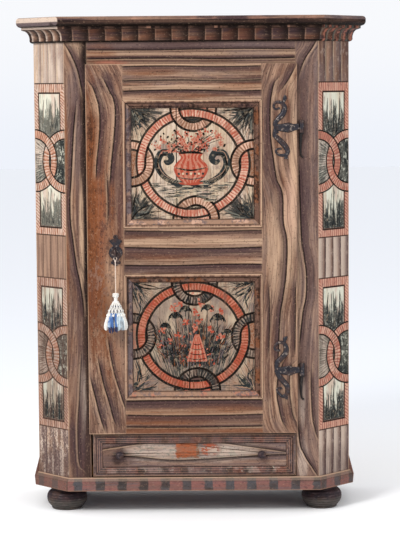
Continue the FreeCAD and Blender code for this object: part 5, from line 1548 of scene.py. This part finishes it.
def paint_frames():
    """The mitred mouldings round the two panels and the drawer, each side its own tone, partly the
    moulding's own paint and partly painted light and shade.
    """
    # The top runs are darker and the bottom runs paler: partly their own paint, partly painted light
    # falling from above.
    sides = {
        "moulding_upper": dict(
            top=("brown", "dusk", "vein"), right=("brown", "ochre", "vein"),
            bottom=("tan", "peach", "slate"), left=("slate", "tan", "dusk")
        ),
        "moulding_lower": dict(
            top=("brown", "ochre", "vein"), right=("brown", "ochre", "vein"),
            bottom=("tan", "salmon", "slate"), left=("slate", "tan", "dusk")
        ),
        "drawer_moulding": dict(
            top=("brown", "dusk", "vein"), right=("brown", "slate", "vein"),
            bottom=("brown", "slate", "vein"), left=("brown", "slate", "dusk")
        ),
    }
    for name, plan in sides.items():
        low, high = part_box(name)
        f = Board(f"{name}_paint", low, high, "z", "x", 151 + len(name))
        gaps = {"left": f.x - low.x, "right": high.x - f.x, "bottom": f.z - low.z, "top": high.z - f.z}
        inset = (gaps["left"] & gaps["right"]) & (gaps["bottom"] & gaps["top"])
        blotch = f.noise(16, 16, 16, 3, 0.65, 5)
        dash = f.noise(70, 70, 70, 2, 0.6, 9)
        drawer = "drawer" in name
        for side, (base, accent, deep) in plan.items():
            tone = f.mix(base, accent, blotch.rise(0.5, 0.58) * 0.7)
            tone = f.mix(tone, deep, dash.fall(0.42, 0.5) * blotch.rise(0.36, 0.5) * 0.75)
            if drawer and side in ("top", "bottom"):
                block = (f.x * (1 / 0.078) + blotch * 0.3).fraction()
                low_run = side == "bottom"
                tone = f.mix(tone, "rose", block.fall(0.45, 0.5) * (0.3 if low_run else 0.25))
                tone = f.mix(tone, "leaf", block.between(0.5, 0.95, 0.06) * (0.6 if low_run else 0.4))
                tone = f.mix(tone, "bone", blotch.rise(0.5, 0.6) * (0.3 if low_run else 0.05))
                tone = f.mix(tone, "chalk", dash.rise(0.62, 0.7) * (0.6 if low_run else 0))
            mask = (gaps[side] - inset) < 0.00005
            f.colour = f.mix(f.colour, tone, mask) if f.colour else tone
        wide = 0.034 if drawer else 0.03
        outer = f.mix(
            "dusk" if drawer else "brown", "brown" if drawer else "tan", f.streak.rise(0.4, 0.6)
        )
        f.coat(outer, inset.fall(0.008, 0.011))
        f.groove = quirk = inset.between(0.0085, 0.0115, 0.0008)
        if drawer:
            steps = (inset * (1 / 0.0085) + 0.3).fraction()
            hollow = steps.between(0.1, 0.35, 0.08)
            f.groove = quirk | hollow
            f.coat("slate", f.cloud.rise(0.4, 0.6) * 0.5)
            f.coat("vein", hollow * 0.5)
            f.coat("blush", steps.between(0.6, 0.85, 0.08) * 0.25)
        # A pale line round the outer arris, partly worn paint and partly a painted highlight; a painted
        # shade in the quirk; a painted shadow line along the inner edge.
        f.coat("straw", inset.between(0.0005, 0.0035, 0.0008) * (0.3 if drawer else 0.8))
        f.coat("vein", quirk * 0.7)
        f.coat("vein", inset.between(wide - 0.0035, wide, 0.0008) * 0.7)
        mitre = abs((gaps["left"] & gaps["right"]) - (gaps["bottom"] & gaps["top"]))
        f.coat("vein", mitre.fall(0.0004, 0.0012) * 0.8)
        f.pits(0.5, 0.3)
        dress(name, f.seal(0.5), 0.0008)


# ------------------------------------------------------------------ turned wood


def dark_wood(name, light=0):
    """Turned wood, blackened by handling and rubbed lighter on its beads."""
    f = Finish(name)
    ring = f.noise(30, 120, 30, 3, 0.6, 4)
    cloud = f.noise(24, 24, 24, 4, 0.6, 8)
    fine = f.noise(260, 420, 260, 2, 0.6, 2)
    f.colour = f.mix("iron", "dusk", cloud.rise(0.4, 0.65) * (0.7 + light))
    f.coat("slate", ring.rise(0.52, 0.66) * (0.45 + light))
    f.coat("brown", cloud.fall(0.35, 0.5) * (0.3 + light))
    f.coat("vein", fine.fall(0.3, 0.42) * 0.5)
    if name == "foot_wood":
        f.coat("moss", f.z.fall(0.03, 0.05) * 0.4)
        groove = (f.z * 105 + cloud * 0.5).fraction().between(0, 0.22, 0.1)
        # Darker in the turned grooves and along the top of the foot, under the case.
        f.coat("soot", (groove * ring.rise(0.36, 0.5) | f.z.rise(0.066, 0.08)) * 0.7)
    return f.done(fine * 0.25 + 0.4, ring + fine * 0.5, None, 0.0006)


def turn_feet():
    """Four bun feet, each turned in one with its dowel."""
    profile = (
        (0.004, 0), (0.05, 0), (0.0555, 0.0015), (0.0575, 0.006), (0.0565, 0.0095), (0.0615, 0.0125),
        (0.069, 0.021), (0.0735, 0.031), (0.075, 0.0425), (0.0745, 0.0455), (0.0735, 0.0465),
        (0.0745, 0.0475), (0.0735, 0.054), (0.069, 0.0625), (0.0615, 0.069), (0.057, 0.0712),
        (0.0565, 0.0735), (0.0595, 0.0755), (0.0595, 0.0795), (0.0555, 0.0818), (0.0535, 0.0838),
        (0.015, 0.0839), (0.0148, 0.105), (0.004, 0.106)
    )
    finish = dark_wood("foot_wood", 0.14)
    for name in ("foot_front_left", "foot_front_right", "foot_back_left", "foot_back_right"):
        low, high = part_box(name)
        foot = Shape()
        foot.turned(profile, ((low.x + high.x) / 2, (low.y + high.y) / 2, 0), "z", 64)
        foot.build(f"{name}_turned", "case", [finish], "dark_feet", True, [name])


def turn_knobs():
    """The drawer's two knobs, each turned in one with its tenon."""
    profile = (
        (0.003, -0.17), (0.006, -0.1702), (0.006, -0.193), (0.0105, -0.1934), (0.0118, -0.1952),
        (0.0105, -0.1975), (0.0078, -0.1992), (0.0074, -0.2022), (0.0098, -0.2046), (0.0136, -0.2062),
        (0.0149, -0.2092), (0.0146, -0.212), (0.0136, -0.2136), (0.0138, -0.2146), (0.0112, -0.2188),
        (0.0068, -0.2212), (0.0032, -0.2206), (0.0024, -0.2194), (0.0008, -0.2192)
    )
    finish = dark_wood("knob_wood", 0.2)
    for name in ("knob_left", "knob_right"):
        low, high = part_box(name)
        knob = Shape()
        knob.turned(profile, ((low.x + high.x) / 2, 0, (low.z + high.z) / 2), "y", 40)
        knob.build(f"{name}_turned", "drawer", [finish], "dark_knob", True, [name])


# ------------------------------------------------------------------ ironwork


def forged_iron(name, seed=0, soot=0):
    """Blackened iron with hammer marks and a brown bloom in the hollows."""
    f = Finish(name)
    dent = f.noise(90, 90, 90, 2, 0.5, seed)
    grime = f.noise(36, 36, 36, 4, 0.65, seed + 3)
    fine = f.noise(500, 500, 500, 2, 0.6, seed + 6)
    f.colour = f.mix("iron", "rust", grime.rise(0.46, 0.66) * 0.75)
    f.coat("bone", dent.rise(0.56, 0.7) * 0.35)
    # The extra blackening, used on the pintles, is partly the iron's own black and partly painted shade
    # in the slot beside the door's edge.
    f.coat("soot", soot)
    return f.done(
        fine * 0.25 + grime * 0.2 + 0.16, dent + fine * 0.15, ~grime * 0.5 + 0.25, 0.003, 0.8, 0.5
    )


# Routes are (x, z) in millimetres from the barrel's centre; widths are half widths.
HINGES = {
    "hinge_upper": dict(
        height=1.42,
        upper=(
            (-94, 0), (-96, 12), (-83, 30), (-70, 43), (-63, 59), (-62, 72), (-70, 84), (-83, 89),
            (-97, 84), (-101, 72), (-93, 63), (-82, 66)
        ),
        lower=(
            (-94, -8), (-98, -30), (-89, -40), (-74, -55), (-60, -70), (-51, -86), (-54, -100),
            (-66, -104), (-82, -102), (-93, -92), (-89, -82), (-77, -80)
        ),
        buds=(((-69, 80), (-64, 92), (-60, 104), (-60, 114)), ((-55, -98), (-56, -108), (-56, -117))),
        boss=(-48, -4, 0),
    ),
    "hinge_lower": dict(
        height=0.532,
        upper=(
            (-94, 2), (-93, 26), (-84, 35), (-67, 52), (-59, 67), (-59, 82), (-65, 95), (-78, 101),
            (-93, 95), (-101, 82), (-97, 72), (-84, 71)
        ),
        lower=(
            (-94, -6), (-91, -13), (-82, -28), (-69, -43), (-56, -60), (-54, -75), (-58, -90), (-72, -99),
            (-87, -86), (-93, -75), (-87, -68), (-78, -69)
        ),
        buds=(((-65, 96), (-64, 108), (-62, 114), (-54, 122)), ((-58, -88), (-57, -98), (-62, -108))),
        boss=(-48, 0, 0.0105),
    ),
}


def forge_hinges():
    """The two strap hinges on their pintles, each an arm with two curled scrolls, and the
    blackened iron of the lock."""
    # The pintles are blackened further: partly painted shade beside the door's edge.
    iron, soot_and_shade_iron = forged_iron("hinge_iron", 12), forged_iron("pintle_iron", 15, 0.85)
    face = -0.2075
    x0, y0 = HINGE_AXIS
    for name, plan in HINGES.items():
        strap = Shape()
        z0 = plan["height"]

        def place(u, v, out):
            return x0 + u * MM, face - out, z0 + v * MM

        def bar(route, widths, steps, out, sides, flat):
            """A forged bar along route, and the place where it ends."""
            path = flowing([(*p, w) for p, w in zip(route, widths)], steps)
            strap.rope(
                [place(u, v, out) for u, v, _ in path], [w * MM for _, _, w in path], sides, 0, flat
            )
            return path[-1][:2]

        for route in (plan["upper"], plan["lower"]):
            widths = (7, 8.2, 9.6, 10.4, 10.2, 9, 7.2, 5.8, 4.8, 4.1, 3.7, 3.4)
            curl = bar(route, widths, 5, 0.001, 14, 0.75)
            strap.ball(place(*curl, 0.002), 0.0046, 0, 12)
        for bud in plan["buds"]:
            bar(bud, (3.5, 5.5, 7.5, 2), 4, 0.001, 12, 0.55)
        arm = ((-101, -2), (-88, -3), (-66, -4), (-46, -4), (-28, -3), (-9, 0))
        bar(arm, (8, 12.5, 15, 18.5, 12.5, 11.5), 4, 0.0005, 16, 0.36)
        *boss, ring = plan["boss"]
        if ring:
            for radius, out in ((ring, 0.0052), (ring * 0.5, 0.0068)):
                strap.hoop(place(*boss, out), radius, 0.0022, "y", flat=0.82)
        low, high = z0 - 0.023, z0 + 0.023
        barrel = (
            (0.0066, low), (0.0096, low + 0.0004), (0.01, low + 0.003), (0.0092, low + 0.0045),
            (0.0088, low + 0.014), (0.0094, z0), (0.0088, high - 0.014), (0.0092, high - 0.0045),
            (0.01, high - 0.003), (0.0096, high - 0.0004), (0.0066, high)
        )
        strap.turned(barrel, (x0, y0, 0), "z", 28)
        strap.build(f"{name}_forged", "door", [iron], "forged_iron", True, [name])
        pin, pintle = name.replace("hinge", "pintle"), Shape()
        pintle.turned(
            (
                (0.003, low - 0.0052), (0.0088, low - 0.005), (0.0092, low - 0.0012),
                (0.0062, low - 0.0006), (0.0062, high + 0.0002), (0.003, high + 0.0004)
            ), (x0, y0, 0), "z", 24,
        )
        spike = flowing(
            (
                (-2, 1, -26, 6.4), (-3, -2, -40, 6.4), (-4, -5, -62, 5.4), (-4, -6, -84, 4.2),
                (-2, -6, -104, 3.4), (3, -5, -112, 3), (6, -5, -108, 2.4)
            ), 4,
        )
        pintle.rope(
            [(x0 + u * MM, y0 + 0.002 - v * MM, z0 + w * MM) for u, v, w, _ in spike],
            [r * MM for *_, r in spike], 10, 0, 0.8,
        )
        pintle.build(f"{pin}_forged", "case", [soot_and_shade_iron], "forged_iron", True, [pin])
    for name in ("hinge_nails", "escutcheon", "lock_case", "lock_bolt", "bolt_keeper", "key"):
        dress(name, forged_iron(f"{name}_iron", len(name) * 1.9), 0.0006)


def stud_escutcheon():
    """Round-headed nails on the key plate."""
    studs = Shape()
    profile = ((0.0004, -0.215), (0.0018, -0.2146), (0.003, -0.213), (0.0034, -0.2108), (0.003, -0.2095))
    for across, z in (
        (0, 1.0215), (-0.0185, 1.0085), (0.0185, 1.0085), (-0.012, 0.9265), (0.012, 0.9265)
    ):
        studs.turned(profile, (KEY_AXIS + across, 0, z), "y", 14)
    studs.build("escutcheon_studs", "door", [forged_iron("stud_iron", 31)], "forged_iron")


# ------------------------------------------------------------------ cord and tassel


def spun_thread(name, tone, twist=900):
    """Twisted yarn."""
    f = Finish(name)
    spin = (f.x + f.z * 1.2 + f.y) * twist
    ply = spin.maths("SINE", spin)
    fluff = f.noise(260, 140, 260, 3, 0.6, 6)
    f.colour = f.mix(tone, "slate", (ply.fall(-0.6, 0.4) * 0.28) + fluff.fall(0.3, 0.45) * 0.2)
    if tone in ("sky", "blue"):
        shade = f.noise(70, 22, 70, 3, 0.6, 2)
        f.coat("thread" if tone == "sky" else "sky", shade.rise(0.5, 0.62) * 0.6)
        f.coat("navy" if tone == "blue" else "slate", shade.fall(0.36, 0.48) * 0.5)
    return f.done(fluff * 0.15 + 0.8, ply * 0.5 + fluff, None, 0.0005)


def hang_tassel():
    """The cord from the key's bow, its loop, and the knotted tassel."""
    sizes = bpy.context.scene.tassel_sizes
    x, y, bow = KEY_AXIS, -0.255, 0.9475
    loop_radius = 0.0052
    exit_at = bow - loop_radius
    top = exit_at - sizes.cord_length
    threads = [spun_thread(f"thread_{tone}", tone) for tone in ("thread", "sky", "blue", "navy", "twine")]
    curve = bpy.data.curves.new("key_cord_run", "CURVE")
    curve.dimensions = "3D"
    curve.bevel_depth, curve.bevel_resolution = sizes.cord_width / 2, 3
    curve.use_fill_caps = True
    run = curve.splines.new("NURBS")
    stops = [(x, y, exit_at - sizes.cord_length * k / 4) for k in range(5)]
    run.points.add(len(stops) - 1)
    for point, stop in zip(run.points, stops):
        point.co = (*stop, 1)
    run.order_u = 3
    run.use_endpoint_u = True
    curve.materials.append(threads[4])
    cord = bpy.data.objects.new("key_cord_run", curve)
    bpy.context.scene.collection.objects.link(cord)
    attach(cord, "tassel")
    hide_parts("key_cord")

    loop = Shape()
    loop.hoop((x, y, bow), loop_radius, 0.0015, "y", 24, 8)
    loop.turned(
        ((0.0016, -0.004), (0.0027, -0.0025), (0.003, 0), (0.0027, 0.0025), (0.0016, 0.004)),
        (x, y, exit_at - 0.003), "z", 12,
    )
    loop.build("key_cord_loop", "tassel", [threads[4]], "cord_thread")

    rng = random.Random(7)
    head = Shape()
    wide, deep = sizes.skirt_width, sizes.skirt_depth
    collar = (
        (0.0018, top - 0.0002), (0.0085, top - 0.001), (0.0105, top - 0.004), (0.0105, top - 0.012),
        (0.0088, top - 0.0155), (0.0066, top - 0.018), (0.0064, top - 0.028), (0.0085, top - 0.035),
        (0.004, top - 0.04)
    )
    head.turned(collar, (x, y, 0), "z", 24)
    for k in range(5):
        head.hoop((x, y, top - 0.0035 - k * 0.0023), 0.0106, 0.0011)
    head.build("tassel_collar", "tassel", threads, "tassel_thread")
    skirt = Shape()

    def level(share):
        """The height of a place on the skirt, share down from the neck to the hem."""
        return top - 0.032 - share * 0.098

    def cone(angle, share):
        """A place on the outside of the skirt."""
        bulge = min(1, 0.18 + 0.86 * share ** 0.8)
        return Vector((x + wide * bulge * cos(angle), y + deep * bulge * sin(angle), level(share)))

    # The net: two families of cords that cross, with a knot at each crossing
    count = 12
    for k in range(count):
        for way in (-1, 1):
            path = []
            for n in range(13):
                share = 0.5 * n / 12
                angle = 2 * pi * (k + way * n / 12 * 1.5) / count
                path.append(cone(angle, share))
            skirt.rope(path, 0.0014, 6, 0, 1, (0, 0, 1))
    knots = [(row, row % 2 / 2, 0.0026 + 0.0006 * row, 0) for row in range(4)]
    for row, shift, radius, tone in (*knots, (1, 0, 0.0024, 3), (2, 0.5, 0.0024, 3)):
        for k in range(count):
            skirt.ball(cone(2 * pi * (k + shift) / count, row / 6), radius, tone, 8)
    # A closed core inside the net
    skirt.skin(
        [
            [
                cone(a, 0.02 + 0.075 * n) - Vector((0, (0.0035 + 0.004 * n) * sin(a), 0))
                for a in around(24)
            ] for n in range(8)
        ]
    )
    # Bunches of thread below the net
    for k in range(count * 2):
        base = 2 * pi * (k // 2 + 0.5 * (k % 2)) / count
        in_front = sin(base) < -0.25
        across = cos(base)
        if in_front and -0.66 < across < 0.1:
            tone = 2
        elif in_front and 0.1 <= across < 0.75:
            tone = 1
        else:
            tone = 0
        for n in range(7):
            angle = base + rng.uniform(-0.16, 0.16)
            depth_in = rng.uniform(0.82, 1)
            stop_share = rng.uniform(0.97, 1.06) + (0.1 if tone == 2 else 0)
            path, radii = [], []
            for step in range(8):
                share = 0.42 + (stop_share - 0.42) * step / 7
                spot = cone(angle + 0.05 * sin(share * 9 + n), min(share, 1))
                inward = depth_in - 0.1 * max(0, share - 0.8) / 0.2
                path.append(Vector((x + (spot.x - x) * inward, y + (spot.y - y) * inward, level(share))))
                radii.append(0.0021 if step < 7 else 0.0014)
            skirt.rope(path[:6], radii[:6], 6, tone)
            skirt.rope(path[5:], radii[5:], 6, 3 if tone == 2 else tone)
    skirt.build("tassel_threads", "tassel", threads, "tassel_thread", True, ["tassel"])


# ------------------------------------------------------------------ stage


def set_stage():
    """Camera, floor and soft light."""
    settings = bpy.context.scene.stage_settings
    turn, tilt, roll = map(radians, (-0.147, -5.247, -0.415))
    ahead = Vector((sin(turn) * cos(tilt), cos(turn) * cos(tilt), sin(tilt)))
    level = Vector((cos(turn), -sin(turn), 0))
    above = level.cross(ahead)
    right = level * cos(roll) + above * sin(roll)
    up = above * cos(roll) - level * sin(roll)
    lens = bpy.data.cameras.new("camera")
    lens.lens, lens.sensor_width, lens.sensor_fit = settings.lens, 36, "AUTO"
    lens.clip_end = 60
    camera = bpy.data.objects.new("camera", lens)
    eye = (0.0463, -settings.distance, settings.height)
    rows = [(r, u, -a, e) for r, u, a, e in zip(right, up, ahead, eye)]
    camera.matrix_world = Matrix((*rows, (0, 0, 0, 1)))
    scene = bpy.context.scene
    scene.collection.objects.link(camera)
    scene.camera = camera
    scene.view_settings.view_transform = "Standard"

    floor = Finish("floor_paper", "y", "x")
    tooth = floor.noise(3, 3, 3, 2)
    white = floor.mix((0.95, 0.96, 0.985, 1), (0.97, 0.98, 0.99, 1), tooth)
    floor.colour = floor.mix(white, (0.9, 0.93, 0.985, 1), floor.y.rise(0.6, 3))
    paper = floor.done(0.9)
    mesh = bpy.data.meshes.new("floor")
    reach = 30
    mesh.from_pydata(
        [(-reach, -reach, 0), (reach, -reach, 0), (reach, reach, 0), (-reach, reach, 0)],
        [], [(0, 1, 2, 3)],
    )
    mesh.materials.append(paper)
    ground = bpy.data.objects.new("floor", mesh)
    scene.collection.objects.link(ground)

    world = bpy.data.worlds.new("studio")
    scene.world = world
    world.use_nodes = True
    studio = Nodes(world.node_tree)
    way = studio.node("ShaderNodeTexCoord", {}, {}, "Generated")
    upward = studio.node("ShaderNodeSeparateXYZ", {}, [way], "Z")
    seen = studio.node("ShaderNodeLightPath", {}, {}, "Is Camera Ray")
    wall = studio.mix((0.86, 0.895, 0.965, 1), (0.94, 0.952, 0.982, 1), upward.rise(-0.042, 0.035))
    dome = studio.mix((0.06, 0.08, 0.2, 1), (1, 1, 1, 1), upward.rise(0, 0.45))
    sky = world.node_tree.nodes["Background"]
    world.node_tree.links.new(studio.mix(dome, wall, seen).socket, sky.inputs["Color"])
    for name, at, aim, size, power, tint in (
        ("key", (-2.7, -3.9, 4.4), (0, 0, 1), 1.6, 215, (1, 0.98, 0.95)),
        ("fill", (4.2, -2.6, 1.9), (0.2, 0, 0.9), 2.4, 45, (0.95, 0.98, 1)),
    ):
        lamp = bpy.data.lights.new(name, "AREA")
        lamp.shape, lamp.size, lamp.energy, lamp.color = "SQUARE", size, power, tint
        light = bpy.data.objects.new(name, lamp)
        light.location = at
        light.rotation_euler = (Vector(aim) - Vector(at)).to_track_quat("-Z", "Y").to_euler()
        scene.collection.objects.link(light)


# ------------------------------------------------------------------ add-on


class CUPBOARD_OT_stage(bpy.types.Operator):
    """Set up the camera, the floor and the light"""

    bl_idname = "cupboard.stage"
    bl_label = "Stage"

    def execute(self, context):
        set_stage()
        return {"FINISHED"}


class CUPBOARD_OT_tassel(bpy.types.Operator):
    """Hang the cord and its tassel from the key"""

    bl_idname = "cupboard.tassel"
    bl_label = "Cord and Tassel"

    def execute(self, context):
        hang_tassel()
        return {"FINISHED"}


class CUPBOARD_OT_boards(bpy.types.Operator):
    """Grain the boards of the front, the sides, the back and the inside"""

    bl_idname = "cupboard.boards"
    bl_label = "Grained Boards"

    def execute(self, context):
        paint_boards()
        paint_sides()
        return {"FINISHED"}


class CUPBOARD_OT_panels(bpy.types.Operator):
    """Paint the two door panels with their rings and plants"""

    bl_idname = "cupboard.panels"
    bl_label = "Painted Panels"

    def execute(self, context):
        paint_panels()
        paint_upper_motif()
        paint_lower_motif()
        return {"FINISHED"}


class CUPBOARD_OT_cants(bpy.types.Operator):
    """Paint the canted corner boards"""

    bl_idname = "cupboard.cants"
    bl_label = "Canted Corners"

    def execute(self, context):
        paint_cants()
        plant_cants()
        return {"FINISHED"}


class CUPBOARD_OT_mouldings(bpy.types.Operator):
    """Paint the cornice, the plinth and the panel mouldings"""

    bl_idname = "cupboard.mouldings"
    bl_label = "Mouldings"

    def execute(self, context):
        paint_slab()
        paint_cove()
        paint_plinth()
        paint_frames()
        return {"FINISHED"}


class CUPBOARD_OT_turnings(bpy.types.Operator):
    """Turn the four feet and the drawer's knobs"""

    bl_idname = "cupboard.turnings"
    bl_label = "Feet and Knobs"

    def execute(self, context):
        turn_feet()
        turn_knobs()
        return {"FINISHED"}


class CUPBOARD_OT_ironwork(bpy.types.Operator):
    """Forge the hinges and finish the lock, key and key plate"""

    bl_idname = "cupboard.ironwork"
    bl_label = "Ironwork"

    def execute(self, context):
        forge_hinges()
        stud_escutcheon()
        return {"FINISHED"}


class CUPBOARD_PT_panel(bpy.types.Panel):
    """Lists the steps of dressing the cupboard"""

    bl_label = "Painted Cupboard"
    bl_idname = "CUPBOARD_PT_panel"
    bl_space_type = "VIEW_3D"
    bl_region_type = "UI"
    bl_category = "Cupboard"

    def draw(self, context):
        for step in STEPS:
            self.layout.operator(step.bl_idname)
        for group in GROUPS:
            settings = getattr(context.scene, group)
            for name in settings.bl_rna.properties.keys():
                if name not in ("rna_type", "name"):
                    self.layout.prop(settings, name)


STEPS = (
    CUPBOARD_OT_stage, CUPBOARD_OT_tassel, CUPBOARD_OT_boards, CUPBOARD_OT_panels, CUPBOARD_OT_cants,
    CUPBOARD_OT_mouldings, CUPBOARD_OT_turnings, CUPBOARD_OT_ironwork
)
GROUPS = {
    "cupboard_colours": CupboardColours, "ornament_sizes": OrnamentSizes, "tassel_sizes": TasselSizes,
    "stage_settings": StageSettings
}


def register():
    for group in (*GROUPS.values(), *STEPS, CUPBOARD_PT_panel):
        bpy.utils.register_class(group)
    for name, group in GROUPS.items():
        setattr(bpy.types.Scene, name, bpy.props.PointerProperty(type=group))


def unregister():
    for name in GROUPS:
        delattr(bpy.types.Scene, name)
    for group in reversed((*GROUPS.values(), *STEPS, CUPBOARD_PT_panel)):
        bpy.utils.unregister_class(group)


def main():
    register()
    for step in STEPS:
        getattr(bpy.ops.cupboard, step.bl_idname.split(".")[1])()


if __name__ == "__main__":
    main()
